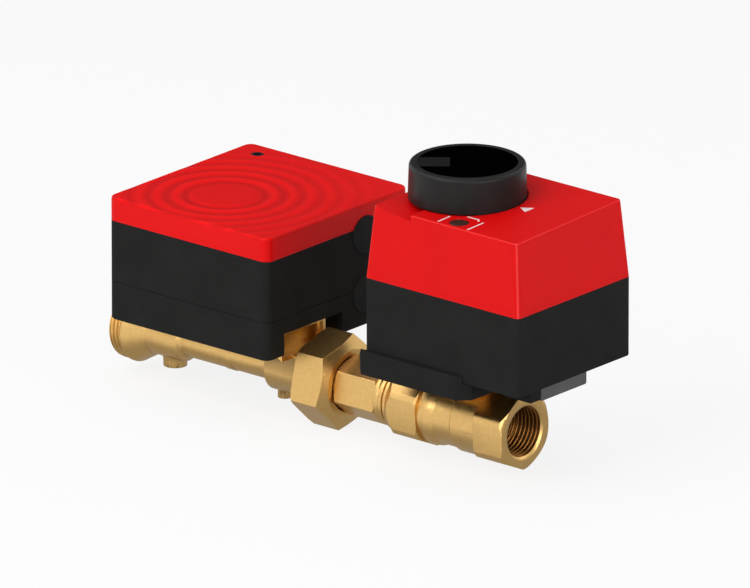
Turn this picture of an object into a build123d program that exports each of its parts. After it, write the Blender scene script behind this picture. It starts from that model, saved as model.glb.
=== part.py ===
from build123d import *

import os
from math import acos, cos, pi, radians, sin, sqrt, tan

# A motorised flow-control valve for a pipe. X runs along the pipe towards the outlet, whose
# end face is at X = 0. Y runs away from the front and Z up to the hand knob. Millimetres.

# Clearances that the fits share
shaft_gap = 0.08  # radial, a shaft or button that turns or slides in its bore
push_gap = 0.15  # per side, pieces pushed together by hand
thread_gap = 0.03  # radial, plain stand-in for a tight screwed joint
stop_gap = 0.1  # between faces that stop each other
overcut = 1.0  # a cutter's reach past the face that it cuts

# Outlet end of the valve body
stem_to_outlet = 27.9
wrench_flats = 27.0  # across the flats of the body and end hexagons
body_hex_turn = 35.0  # degrees, corner of those hexagons from +Y towards +Z
hex_round = 0.4  # radius on a hexagon's long edges
hex_trim = 0.65  # left off those hexagons' corners by their round bar
outlet_hex_cut = (2.1, 0.9)  # depth and length of the cone on a hexagon's corners
end_hex_cut = (2.9, 3.5)
end_inner_cut = (1.6, 0.5)  # the same where a hexagon meets the chamber
outlet_inner_cut = (1.0, 0.3)
pipe_pitch = 1.814  # 14 threads to the inch
outlet_crest = 9.32  # radius on the crests of the outlet thread
outlet_root = 10.4
outlet_grooves = 7
mouth_chamfer = 0.95  # along the bore
mouth_flare = 1.55  # outwards from the thread's crests
thread_land = 0.45

# Ball chamber, ball and seats
chamber_half = 13.9
chamber_radius = 13.0
chamber_bulge = 0.2
chamber_length = 5.4  # up to its shoulder
shoulder_length = 2.1  # from the chamber down to the waist
waist_radius = 12.15
waist_length = 7.7
waist_rise = 1.2  # from the waist up to the neck
chamber_neck_radius = 12.9  # beside the outlet hexagon
chamber_bore = 10.0
ball_radius = 9.6
ball_bore = 6.0
port_bore = 6.5
seat_inner = 6.4
seat_length = 3.55
seat_clear = 0.2  # a seat's back face, beyond the ball
seat_relief = 0.05  # between the ball and its seats
disc_thickness = 1.0
disc_opening = (10.4, 7.2)  # diagonals of the lozenge in the flow disc
rest_turn = 40.0  # degrees that the ball stands off the open position

# Stem and neck
stem_radius = 4.0
stem_square = 5.6
stem_collar_radius = 5.2
stem_collar_length = 1.1
tang_length = 8.0
tang_width = 3.0
tang_depth = 2.8
seal_section = 1.04  # thickness of a stem seal ring
seal_groove_length = 1.3
seal_spacing = 3.2
neck_radius = 8.0
flange_side = 24.0
flange_corner = 2.0
flange_thickness = 3.6
flange_screw_spacing = 18.0

# End piece screwed into the chamber
end_hex_length = 15.6
end_collar_length = 1.5
end_collar_radius = 12.2
spigot_radius = 11.57

# Hexagonal nipple
nipple_gap_length = 1.5
nipple_gap_radius = 10.2
nipple_collar_length = 3.8
nipple_collar_radius = 11.3
nipple_groove = 0.5  # half width and depth of the collar's groove
nipple_hex_cuts = ((1.0, 0.6), (1.2, 0.8))
nipple_hex_length = 19.6
nipple_flats = 20.3
nipple_hex_turn = 20.6  # degrees, corner of the hexagon from +Y
nipple_spigot_radius = 9.05
nipple_spigot_length = 9.0
run_bore = 7.0

# Union nut, its sleeve and gasket
nut_length = 15.0
nut_flats = 32.0
nut_hex_turn = 16.6
nut_back_cut = (1.4, 0.8)
nut_face_cut = (5.4, 2.4)
nut_hole = 10.5
nut_hole_chamfer = 0.3
nut_lip_length = 5.2
union_thread_radius = 13.0
sleeve_radius = 10.1
sleeve_flange_radius = 12.4
sleeve_flange_length = 2.5
sleeve_spigot_length = 10.0
sleeve_proud = 0.6  # sleeve beyond the nut's face
gasket_thickness = 1.8

# Flow-sensor tube
tube_thread_length = 7.5  # under the nut
neck_block_length = 17.3
neck_block_half = 9.6
tube_bore = 5.0
thin_tube_radius = 6.75
thick_tube_radius = 9.0
thick_tube_length = 14.0
ring_radius = 7.0
ring_length = 4.2
ring_chamfer = 0.3
inlet_reach = 12.1  # inlet end beyond the sensor housing
inlet_grooves = 3
inlet_crest = 13.22
inlet_root = 12.2
inlet_chamfer = 0.8
inlet_collar_radius = 13.6
inlet_collar_length = 1.0
inlet_taper_radius = 10.3  # where the collar's cone ends
inlet_taper_length = 5.6
inlet_run_out = 1.8  # from the cone's end down to the tube
inlet_mouth = 10.4
inlet_mouth_length = 6.0
inlet_cone_length = 6.0
drain_radius = 4.5
drain_root_radius = 6.6
drain_root_depth = 9.6
drain_depth = 12.0
plug_boss_radius = 2.8
plug_boss_depth = 12.4
saddle_front = 16.3
saddle_back = 8.7
saddle_plate = 2.5
saddle_inlet_margin = 6.2  # from the housing's inlet face
saddle_margin = 2.1  # from the housing's outlet face
saddle_screw_reach = 14.0  # screws along X, from the probe
saddle_screw_front = 12.5
saddle_screw_back = 5.0
saddle_block_length = 13.8
saddle_wall = 1.5
saddle_pocket_depth = 5.0
transducer_radius = 5.5
transducer_stub_radius = 2.5
transducer_stub_height = 4.0
transducer_inset = 9.8  # inlet transducer from the housing's inlet face
transducer_outset = 14.4  # outlet transducer from the housing's outlet face
probe_radius = 2.0
probe_boss_radius = 4.0
probe_outset = 37.8

# Sensor housing
housing_to_nut = 2.6
housing_length = 78.2
housing_front = 27.0
housing_back = 54.4
housing_bottom = 11.2
seam_height = 26.2
parting_height = 50.2
lid_height = 59.6
housing_wall = 2.5
housing_floor = 2.2
housing_corner = 3.5
bottom_round = 1.0
lid_round = 1.2
lid_ceiling = 3.2
seam_chamfer = 0.3
least_corner = 0.5  # corner radius that an inset outline keeps
tunnel_front = 17.4
tunnel_back = 15.9
tunnel_top = 20.0
seal_width = 1.1
seal_depth = 1.0
lid_screw_inset = 11.0
lid_screw_back = 8.4
lid_post_radius = 4.2
lid_post_web = 3.0
lid_tab_width = 8.0
lid_tab_thickness = 1.5
lid_tab_depth = 5.0
lid_tab_spacing = 40.0
ripple_inset = 32.6  # ripple centre from the inlet face
ripple_offset = 2.6  # ripple centre behind the pipe axis
ripple_start = 11.6
ripple_length = 7.2
ripple_count = 2
ripple_depth = 0.55
ripple_fade = 0.3  # share of its depth lost by the last ripple
ripple_crest = 0.04  # crests between the rings, below the lid's top
cable_plug_radius = 7.25
cable_plug_back = 29.0
upper_plug_height = 47.1
lower_plug_height = 23.8
cable_plug_proud = 0.4
cable_plug_round = 0.36
cable_plug_lip = 1.0
cable_plug_lip_length = 1.2
board_thickness = 1.6
board_corner = 1.5
sensor_board_height = 36.5
sensor_board_margin = 4.9  # from the housing's end faces
sensor_board_front = 22.0
sensor_board_back = 41.0
board_hole_inset = 3.5
board_post_radius = 3.0
terminal_length = 10.0
terminal_width = 18.0
terminal_height = 10.0
terminal_spacing = 21.0
terminal_chamfer = 1.0

# Adapter plate between the valve's flange and the actuator
adapter_bottom = 20.0
adapter_length = 54.2
adapter_shift = 0.4  # of its middle, towards the inlet
adapter_margin = 2.0  # plate beyond the actuator's front and back
adapter_lip_height = 2.7
adapter_corner = 4.3
adapter_round = 0.5
adapter_hole = 9.0

# Actuator base and cap
actuator_inlet_side = 23.1  # from the stem axis
actuator_outlet_side = 50.8
actuator_front = 31.4
actuator_back = 33.3
actuator_bottom = 26.5
cap_bottom = 57.4
actuator_wall = 2.4
actuator_corner = 1.8
actuator_round = 0.6
bearing_wall = 2.5  # round the hub's bearing
cap_front_height = 85.5
cap_back_height = 87.4
cap_wall = 2.2
cap_draft_x = 2.6  # over the cap's height
cap_draft_y = 2.1
cap_ceiling = 81.3
cap_round = 0.7
ramp_length = 18.1
ramp_depth = 2.35
ramp_reach = 24.0  # ramp from the front edge back
knob_pocket_floor = 85.6
knob_pocket_gap = 0.5
post_inset = 5.0
post_radius = 3.6

# Gear train
module = 0.6
pressure_angle = 25.0
addendum = 0.8  # in modules
dedendum = 1.05
backlash = 0.06  # taken off each tooth
output_teeth = 60
wheel_teeth = 36
pinion_teeth = 12
second_bearing = 45.0  # degrees, second gear seen from the stem
first_bearing = -20.0  # degrees, first gear seen from the second
motor_bearing = -100.0  # degrees, motor seen from the first gear
axle_radius = 1.25
gear_boss_radius = 2.5
output_gear_bottom = 33.5
output_gear_width = 5.0
wheel_width = 3.0
gear_step = 1.0
first_pinion_bottom = 40.0
first_wheel_bottom = 46.0
gear_plate_bottom = 51.5
gear_plate_thickness = 1.5
plate_corner = 2.0
plate_inlet = 15.0  # posts under the gear plate, from the stem axis
plate_outlet = 40.0
plate_front = 16.0
plate_back = 19.0

# Output hub and hand knob
hub_radius = 8.0
hub_foot_gap = 0.5
hub_flange_radius = 9.5
hub_flange_length = 0.8
hub_hex_flats = 14.0
hub_waist_radius = 6.5
hub_waist_top = 45.0
hub_shaft_radius = 5.5
hub_shoulder = 84.0
hub_top_flats = 9.0
hub_top_length = 9.0
knob_radius = 22.1
knob_bottom = 85.95
knob_top = 99.5
knob_draft = 0.4
knob_round = 1.5
knob_wall = 2.6
knob_ceiling = 3.4
knob_boss_radius = 8.0
knob_boss_gap = 0.6
knob_disc_radius = 18.7
knob_disc_thickness = 1.0
knob_disc_sink = 0.3
pointer_width = 10.2
pointer_start = 6.5
pointer_thickness = 0.15

# Motor, circuit board and cable block
motor_radius = 12.0
motor_length = 20.0
motor_ear_spacing = 30.0
motor_ear_width = 8.0
motor_ear_thickness = 1.0
motor_round = 1.0
motor_nose_radius = 3.5
motor_shaft_radius = 1.0
motor_shaft_socket = 8.0
actuator_board_height = 75.0
board_cutout_radius = 8.0
standoff_flats = 5.0
cable_block_length = 12.5
cable_block_width = 26.0
cable_block_end_gap = 4.3  # from the actuator's outlet face
cable_block_bottom = 19.8
cable_block_top = 38.0
cable_block_chamfer = 0.5
cable_block_lip = 1.0  # on its inlet and outlet sides, inside the floor
cable_rib_front = 19.0  # rib of the base that shields the block's front
cable_rib_back = 13.4
cable_rib_bottom = 20.5
cable_hole_radius = 3.1
cable_hole_spacing = 12.0

# Release button and its spring
button_x = 16.5  # from the stem axis
button_front = 24.3
button_radius = 3.7
button_height = 85.65
button_flange_radius = 4.5
button_flange_length = 1.3
button_round = 0.4
button_travel = 2.0
button_rod_radius = 1.5
button_rod_end = 56.0
button_step = 80.0  # shoulder in the cap that stops the button's flange
button_collar_radius = 5.2
button_collar_bottom = 74.0
button_column_radius = 4.0
button_column_top = 62.0
spring_wire = 0.6
spring_radius = 2.6
spring_turns = 7

# Small screws and pins
screw_length = 6.0  # thread below the head, where nothing else sets it
lid_screw_sink = 2.0
adapter_screw_sink = 3.2
cap_post_length = 12.0
cap_hole_depth = 11.0
cap_screw_grip = 10.0
saddle_screw_length = 5.7
axle_seat = 3.0
screw_radius = 1.5
screw_core = 1.3
screw_head_radius = 2.6
screw_head_height = 1.8
recess_length = 3.1  # cross in a screw's head
recess_width = 0.9

# Stations along the run, worked out from the outlet back to the inlet
stem_x = -stem_to_outlet
body_end_x = stem_x - chamber_half
outlet_hex_x = stem_x + chamber_half
seat_back = ball_radius + seat_clear
spigot_end_x = stem_x - seat_back - disc_thickness
end_hex_x = body_end_x - end_hex_length
end_face_x = end_hex_x - end_collar_length
nipple_step_x = end_face_x - nipple_gap_length
nipple_collar_x = nipple_step_x - nipple_collar_length
nipple_face_x = nipple_collar_x - nipple_hex_length
nut_face_x = nipple_face_x - sleeve_proud
nut_back_x = nut_face_x - nut_length
sleeve_flange_x = nut_face_x - nut_lip_length - sleeve_flange_length
nut_shoulder_x = sleeve_flange_x + sleeve_flange_length
tube_end_x = sleeve_flange_x - gasket_thickness
neck_block_x = tube_end_x - tube_thread_length
housing_outlet_x = nut_back_x - housing_to_nut
housing_inlet_x = housing_outlet_x - housing_length
inlet_x = housing_inlet_x - inlet_reach
transducer_xs = (housing_inlet_x + transducer_inset, housing_outlet_x - transducer_outset)
probe_x = housing_outlet_x - probe_outset

# Heights worked out from the ones above
flange_top = adapter_bottom
adapter_floor = actuator_bottom
hub_foot = flange_top + hub_foot_gap
housing_middle = (housing_inlet_x + housing_outlet_x) / 2
housing_width = housing_front + housing_back
housing_y = (housing_back - housing_front) / 2
actuator_middle = stem_x + (actuator_outlet_side - actuator_inlet_side) / 2
actuator_length = actuator_inlet_side + actuator_outlet_side
actuator_width = actuator_front + actuator_back
actuator_centre_y = (actuator_back - actuator_front) / 2
saddle_top = tunnel_top - thread_gap

# The ball, stem, hub and knob share one frame, turned with the ball
drive_plane = Plane(
    origin=(stem_x, 0, 0),
    x_dir=(cos(radians(rest_turn)), sin(radians(rest_turn)), 0),
    z_dir=(0, 0, 1),
)


def polar(radius, angle):
    """Point at a radius and an angle in degrees."""
    return radius * cos(radians(angle)), radius * sin(radians(angle))


def beside(centre, distance, bearing):
    """Point at a distance and a bearing in degrees from another point."""
    dx, dy = polar(distance, bearing)
    return centre[0] + dx, centre[1] + dy


def thread_points(start, step, crest, root, grooves):
    """Crest and root corners of ring-shaped thread grooves, one pitch apart along X."""
    points = []
    for groove in range(grooves):
        x = start + step * groove * pipe_pitch
        points.append((x, crest))
        points.append((x + step * thread_land, crest))
        points.append((x + step * (pipe_pitch + thread_land) / 2, root))
    end = start + step * grooves * pipe_pitch
    points.append((end, crest))
    points.append((end + step * thread_land, crest))
    return points


def hex_bar(flats, turn, start, end, start_cut, end_cut, trim=0):
    """Hexagonal bar along X; a cut is the depth and length of the cone on its trimmed corners."""
    corner = flats / sqrt(3)
    with BuildPart() as bar:
        with BuildSketch(Plane.YZ.offset(start)) as bar_edges:
            RegularPolygon(corner, 6, rotation=turn)
            fillet(bar_edges.vertices(), hex_round)
        extrude(amount=end - start)
        with BuildSketch():
            with BuildLine():
                Polyline(
                    (start, 0),
                    (start, corner - start_cut[0]),
                    (start + start_cut[1], corner - trim),
                    (end - end_cut[1], corner - trim),
                    (end, corner - end_cut[0]),
                    (end, 0),
                    close=True,
                )
            make_face()
        revolve(axis=Axis.X, mode=Mode.INTERSECT)
    return bar.part


def turned_ring(start, end, outer, inner):
    """Plain ring or tube along X."""
    with BuildPart() as ring:
        with BuildSketch(Plane.YZ.offset(start)):
            Circle(outer)
            Circle(inner, mode=Mode.SUBTRACT)
        extrude(amount=end - start)
    return ring.part


def screw(x, y, head_base, length):
    """Pan-head screw pointing down, its head standing on head_base."""
    with BuildPart() as fastener:
        with BuildSketch(Plane.XY.offset(head_base - length)):
            with Locations((x, y)):
                Circle(screw_core - thread_gap)
        extrude(amount=length)
        with BuildSketch(Plane.XY.offset(head_base)):
            with Locations((x, y)):
                Circle(screw_head_radius)
        extrude(amount=screw_head_height)
        top = fastener.faces().sort_by(Axis.Z)[-1]
        chamfer(top.edges(), screw_head_height / 4)
        with BuildSketch(Plane.XY.offset(head_base + screw_head_height)):
            with Locations((x, y)):
                Rectangle(recess_length, recess_width)
                Rectangle(recess_width, recess_length)
        extrude(amount=-screw_head_height / 2, mode=Mode.SUBTRACT)
    return fastener.part


def involute(angle):
    """Involute function of a pressure angle in radians."""
    return tan(angle) - angle


def gear_outline(teeth, turn):
    """Involute gear face with one tooth centred on the angle turn, in degrees."""
    pitch_radius = module * teeth / 2
    base_radius = pitch_radius * cos(radians(pressure_angle))
    tip = pitch_radius + addendum * module
    root = pitch_radius - dedendum * module
    start = max(base_radius, root)
    half_tooth = (pi * module / 2 - backlash) / (2 * pitch_radius)

    def half_angle(radius):
        slope = acos(min(1.0, base_radius / radius))
        spread = involute(radians(pressure_angle)) - involute(slope)
        return (half_tooth + spread) * 180 / pi

    radii = [start + (tip - start) * step / 3 for step in range(4)]
    pitch = 360 / teeth
    edges = []
    for tooth in range(teeth):
        middle = turn + tooth * pitch
        rising = [polar(radius, middle - half_angle(radius)) for radius in radii]
        falling = [polar(radius, middle + half_angle(radius)) for radius in reversed(radii)]
        edges.append(Edge.make_spline([Vector(*point) for point in rising]))
        edges.append(Edge.make_three_point_arc(rising[-1], polar(tip, middle), falling[0]))
        edges.append(Edge.make_spline([Vector(*point) for point in falling]))
        foot_angle = middle + half_angle(start)
        next_angle = middle + pitch - half_angle(start)
        foot = polar(root, foot_angle)
        next_foot = polar(root, next_angle)
        if root < start:
            edges.append(Edge.make_line(falling[-1], foot))
        edges.append(Edge.make_three_point_arc(foot, polar(root, middle + pitch / 2), next_foot))
        if root < start:
            edges.append(Edge.make_line(next_foot, polar(start, next_angle)))
    return Face(Wire(edges))


def mesh_turn(driver_teeth, driver_turn, bearing, teeth):
    """Turn that puts a gear in mesh with one whose centre lies back along the bearing."""
    return bearing + 180 - 180 / teeth + driver_teeth * (bearing - driver_turn) / teeth


def gear_distance(teeth, other_teeth):
    """Centre distance of two gears in mesh."""
    return module * (teeth + other_teeth) / 2


# Gear centres and turns, from the output gear back to the motor
second_centre = beside((stem_x, 0), gear_distance(output_teeth, pinion_teeth), second_bearing)
first_centre = beside(second_centre, gear_distance(wheel_teeth, pinion_teeth), first_bearing)
motor_centre = beside(first_centre, gear_distance(wheel_teeth, pinion_teeth), motor_bearing)
second_turn = mesh_turn(output_teeth, 0, second_bearing, pinion_teeth)
first_turn = mesh_turn(wheel_teeth, second_turn, first_bearing, pinion_teeth)
motor_turn = mesh_turn(wheel_teeth, first_turn, motor_bearing, pinion_teeth)
second_wheel_bottom = output_gear_bottom + output_gear_width + 2 * gear_step
gear_plate_top = gear_plate_bottom + gear_plate_thickness

# Plan positions of the screws and posts that several pieces share
flange_screws = [
    (stem_x + side_x * flange_screw_spacing / 2, side_y * flange_screw_spacing / 2)
    for side_x in (-1, 1)
    for side_y in (-1, 1)
]
post_x = actuator_length / 2 - post_inset
corner_posts = [
    (actuator_middle + side_x * post_x, y)
    for side_x in (-1, 1)
    for y in (-actuator_front + post_inset, actuator_back - post_inset)
]
plate_posts = [
    (x, y)
    for x in (stem_x - plate_inlet, stem_x + plate_outlet)
    for y in (-plate_front, plate_back)
]
saddle_screws = [
    (probe_x + side * saddle_screw_reach, y)
    for side in (-1, 1)
    for y in (-saddle_screw_front, saddle_screw_back)
]
board_front_y = -sensor_board_front + board_hole_inset
board_back_y = sensor_board_back - board_hole_inset
board_inlet_x = housing_inlet_x + sensor_board_margin + board_hole_inset
board_outlet_x = housing_outlet_x - sensor_board_margin - board_hole_inset
board_posts = [(x, y) for x in (board_inlet_x, board_outlet_x) for y in (board_front_y, board_back_y)]
lid_screw_at = (housing_inlet_x + lid_screw_inset, housing_back - lid_screw_back)
button_at = (stem_x + button_x, -button_front)
motor_ears = [(motor_centre[0] + side * motor_ear_spacing / 2, motor_centre[1]) for side in (-1, 1)]

# Valve body: brass, with the ball chamber, the stem neck and the outlet hexagon
neck_hole = stem_radius + shaft_gap
collar_top = ball_radius + stop_gap + stem_collar_length
shoulder_x = body_end_x + chamber_length
waist_x = shoulder_x + shoulder_length
outlet_thread = thread_points(-mouth_chamfer, -1, outlet_crest, outlet_root, outlet_grooves)
outlet_thread_end = mouth_chamfer + outlet_grooves * pipe_pitch + thread_land
with BuildPart() as valve_body:
    with BuildSketch():
        with BuildLine():
            Polyline(
                (shoulder_x, chamber_radius),
                (waist_x, waist_radius),
                (waist_x + waist_length, waist_radius),
                (waist_x + waist_length + waist_rise, chamber_neck_radius),
                (outlet_hex_x, chamber_neck_radius),
                (outlet_hex_x, 0),
                (body_end_x, 0),
                (body_end_x, chamber_radius),
            )
            ThreePointArc(
                (body_end_x, chamber_radius),
                ((body_end_x + shoulder_x) / 2, chamber_radius + chamber_bulge),
                (shoulder_x, chamber_radius),
            )
        make_face()
    revolve(axis=Axis.X)
    outlet_cuts = (outlet_inner_cut, outlet_hex_cut)
    add(hex_bar(wrench_flats, body_hex_turn, outlet_hex_x, 0, *outlet_cuts, hex_trim))
    with BuildSketch():
        with Locations((stem_x, 0)):
            Circle(neck_radius)
    extrude(amount=flange_top)
    with BuildSketch(Plane.XY.offset(flange_top - flange_thickness)):
        with Locations((stem_x, 0)):
            RectangleRounded(flange_side, flange_side, flange_corner)
    extrude(amount=flange_thickness)
    with BuildSketch():
        with BuildLine():
            Polyline(
                (body_end_x, 0),
                (body_end_x, spigot_radius + thread_gap),
                (spigot_end_x, spigot_radius + thread_gap),
                (spigot_end_x, chamber_bore),
                (stem_x + seat_back, chamber_bore),
                (stem_x + seat_back, port_bore),
                (-outlet_thread_end - overcut, port_bore),
                *reversed(outlet_thread),
                (0, outlet_crest + mouth_flare),
                (0, 0),
                close=True,
            )
        make_face()
    revolve(axis=Axis.X, mode=Mode.SUBTRACT)
    with BuildSketch():
        with Locations((stem_x, 0)):
            Circle(neck_hole)
    extrude(amount=flange_top, mode=Mode.SUBTRACT)
    with BuildSketch():
        with Locations((stem_x, 0)):
            Circle(stem_collar_radius + push_gap)
    extrude(amount=collar_top + stop_gap, mode=Mode.SUBTRACT)
    with BuildSketch(Plane.XY.offset(flange_top)):
        with Locations(*flange_screws):
            Circle(screw_core)
    extrude(amount=-flange_thickness, mode=Mode.SUBTRACT)

# End piece: brass, its spigot screwed into the chamber behind the seat
with BuildPart() as end_piece:
    end_cuts = (end_hex_cut, end_inner_cut)
    add(hex_bar(wrench_flats, body_hex_turn, end_hex_x, body_end_x, *end_cuts, hex_trim))
    add(turned_ring(end_face_x, end_hex_x, end_collar_radius, port_bore))
    add(turned_ring(body_end_x, spigot_end_x, spigot_radius, port_bore))
    with BuildSketch(Plane.YZ.offset(end_face_x)):
        Circle(port_bore)
    extrude(amount=spigot_end_x - end_face_x, mode=Mode.SUBTRACT)
    with BuildSketch(Plane.YZ.offset(end_face_x)):
        Circle(nipple_spigot_radius + thread_gap)
    extrude(amount=nipple_spigot_length, mode=Mode.SUBTRACT)

# Flow disc: shaped opening that makes the flow follow the ball's angle
half_y = disc_opening[0] / 2
half_z = disc_opening[1] / 2
with BuildPart() as flow_disc:
    with BuildSketch(Plane.YZ.offset(spigot_end_x)):
        Circle(chamber_bore - thread_gap)
        with BuildLine():
            Polyline((-half_y, 0), (0, half_z), (half_y, 0), (0, -half_z), close=True)
        make_face(mode=Mode.SUBTRACT)
    extrude(amount=disc_thickness)


def seat_ring(side):
    """Seat on one side of the ball, with a hollow face that bears on it."""
    reach = ball_radius + seat_relief
    front = seat_back - seat_length
    outer = chamber_bore - thread_gap

    def point(x, radius):
        return stem_x + side * x, radius

    front_lip = point(front, sqrt(reach**2 - front**2))
    inner_lip = point(sqrt(reach**2 - seat_inner**2), seat_inner)
    middle = (front + sqrt(reach**2 - seat_inner**2)) / 2
    with BuildPart() as seat:
        with BuildSketch():
            with BuildLine():
                Polyline(
                    inner_lip,
                    point(seat_back, seat_inner),
                    point(seat_back, outer),
                    point(front, outer),
                    front_lip,
                )
                ThreePointArc(front_lip, point(middle, sqrt(reach**2 - middle**2)), inner_lip)
            make_face()
        revolve(axis=Axis.X)
    return seat.part


# Seats: two rings that the ball is held between
with BuildPart() as seat_inlet:
    add(seat_ring(-1))

with BuildPart() as seat_outlet:
    add(seat_ring(1))

# Ball: bored through, with a slot across its top for the stem's tang
slot_floor = ball_radius - tang_depth
with BuildPart() as ball:
    with Locations((stem_x, 0, 0)):
        Sphere(ball_radius)
    bore_plane = Plane(origin=(stem_x, 0, 0), z_dir=drive_plane.x_dir)
    with BuildSketch(bore_plane):
        Circle(ball_bore)
    extrude(amount=2 * ball_radius, both=True, mode=Mode.SUBTRACT)
    with BuildSketch(drive_plane.offset(slot_floor)):
        Rectangle(2 * ball_radius, tang_width + 2 * shaft_gap)
    extrude(amount=2 * tang_depth, mode=Mode.SUBTRACT)

# Stem: tang in the ball, retaining collar, two seal grooves and a square top
seal_heights = (collar_top + seal_spacing, collar_top + 2 * seal_spacing)
with BuildPart() as stem:
    with BuildSketch(drive_plane.offset(slot_floor + stop_gap)):
        Rectangle(tang_length, tang_width)
    extrude(amount=tang_depth)
    with BuildSketch(drive_plane.offset(ball_radius + stop_gap)):
        Circle(stem_collar_radius)
    extrude(amount=stem_collar_length)
    with BuildSketch(drive_plane.offset(collar_top)):
        Circle(stem_radius)
    extrude(amount=flange_top - collar_top)
    with BuildSketch(drive_plane.offset(flange_top)):
        Rectangle(stem_square, stem_square)
    extrude(amount=adapter_floor - flange_top)
    for height in seal_heights:
        with BuildSketch(drive_plane.offset(height - seal_groove_length / 2)):
            Circle(stem_radius + overcut)
            Circle(stem_radius - seal_section, mode=Mode.SUBTRACT)
        extrude(amount=seal_groove_length, mode=Mode.SUBTRACT)

# Stem seals: two rubber rings in the stem's grooves
seal_middle = stem_radius - seal_section / 2 + thread_gap
with BuildPart() as stem_seals:
    for height in seal_heights:
        with Locations((stem_x, 0, height)):
            Torus(seal_middle, seal_section / 2)

# Hexagonal nipple between the end piece and the union
with BuildPart() as hex_nipple:
    add(hex_bar(nipple_flats, nipple_hex_turn, nipple_face_x, nipple_collar_x, *nipple_hex_cuts))
    add(turned_ring(nipple_collar_x, nipple_step_x, nipple_collar_radius, run_bore))
    add(turned_ring(nipple_step_x, end_face_x, nipple_gap_radius, run_bore))
    spigot_stop_x = end_face_x + nipple_spigot_length - stop_gap
    add(turned_ring(end_face_x, spigot_stop_x, nipple_spigot_radius, run_bore))
    with BuildSketch(Plane.YZ.offset(nipple_face_x)):
        Circle(run_bore)
    extrude(amount=spigot_stop_x - nipple_face_x, mode=Mode.SUBTRACT)
    with BuildSketch(Plane.YZ.offset(nipple_face_x)):
        Circle(nipple_spigot_radius)
    extrude(amount=sleeve_spigot_length, mode=Mode.SUBTRACT)
    groove_x = (nipple_collar_x + nipple_step_x) / 2
    with BuildSketch():
        with BuildLine():
            Polyline(
                (groove_x - nipple_groove, nipple_collar_radius),
                (groove_x, nipple_collar_radius - nipple_groove),
                (groove_x + nipple_groove, nipple_collar_radius),
                close=True,
            )
        make_face()
    revolve(axis=Axis.X, mode=Mode.SUBTRACT)

# Union sleeve: flanged tube held by the nut and screwed into the nipple
with BuildPart() as union_sleeve:
    add(turned_ring(sleeve_flange_x, nut_shoulder_x, sleeve_flange_radius, run_bore))
    add(turned_ring(nut_shoulder_x, nipple_face_x, sleeve_radius, run_bore))
    sleeve_end_x = nipple_face_x + sleeve_spigot_length - stop_gap
    add(turned_ring(nipple_face_x, sleeve_end_x, nipple_spigot_radius - thread_gap, run_bore))

# Union gasket: flat ring between the sensor tube and the sleeve's flange
with BuildPart() as union_gasket:
    add(turned_ring(tube_end_x, sleeve_flange_x, sleeve_flange_radius, run_bore))

# Union nut: large hexagon that draws the sleeve on to the sensor tube
with BuildPart() as union_nut:
    add(hex_bar(nut_flats, nut_hex_turn, nut_back_x, nut_face_x, nut_back_cut, nut_face_cut))
    with BuildSketch(Plane.YZ.offset(nut_back_x)):
        Circle(nut_hole)
    extrude(amount=nut_length, mode=Mode.SUBTRACT)
    with BuildSketch(Plane.YZ.offset(nut_back_x)):
        Circle(union_thread_radius + thread_gap)
    extrude(amount=nut_shoulder_x - nut_back_x, mode=Mode.SUBTRACT)
    face_circles = union_nut.edges().filter_by(GeomType.CIRCLE).group_by(Axis.X)[-1]
    hole_rim = face_circles.sort_by(SortBy.RADIUS)[0]
    chamfer(hole_rim, nut_hole_chamfer)

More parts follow.
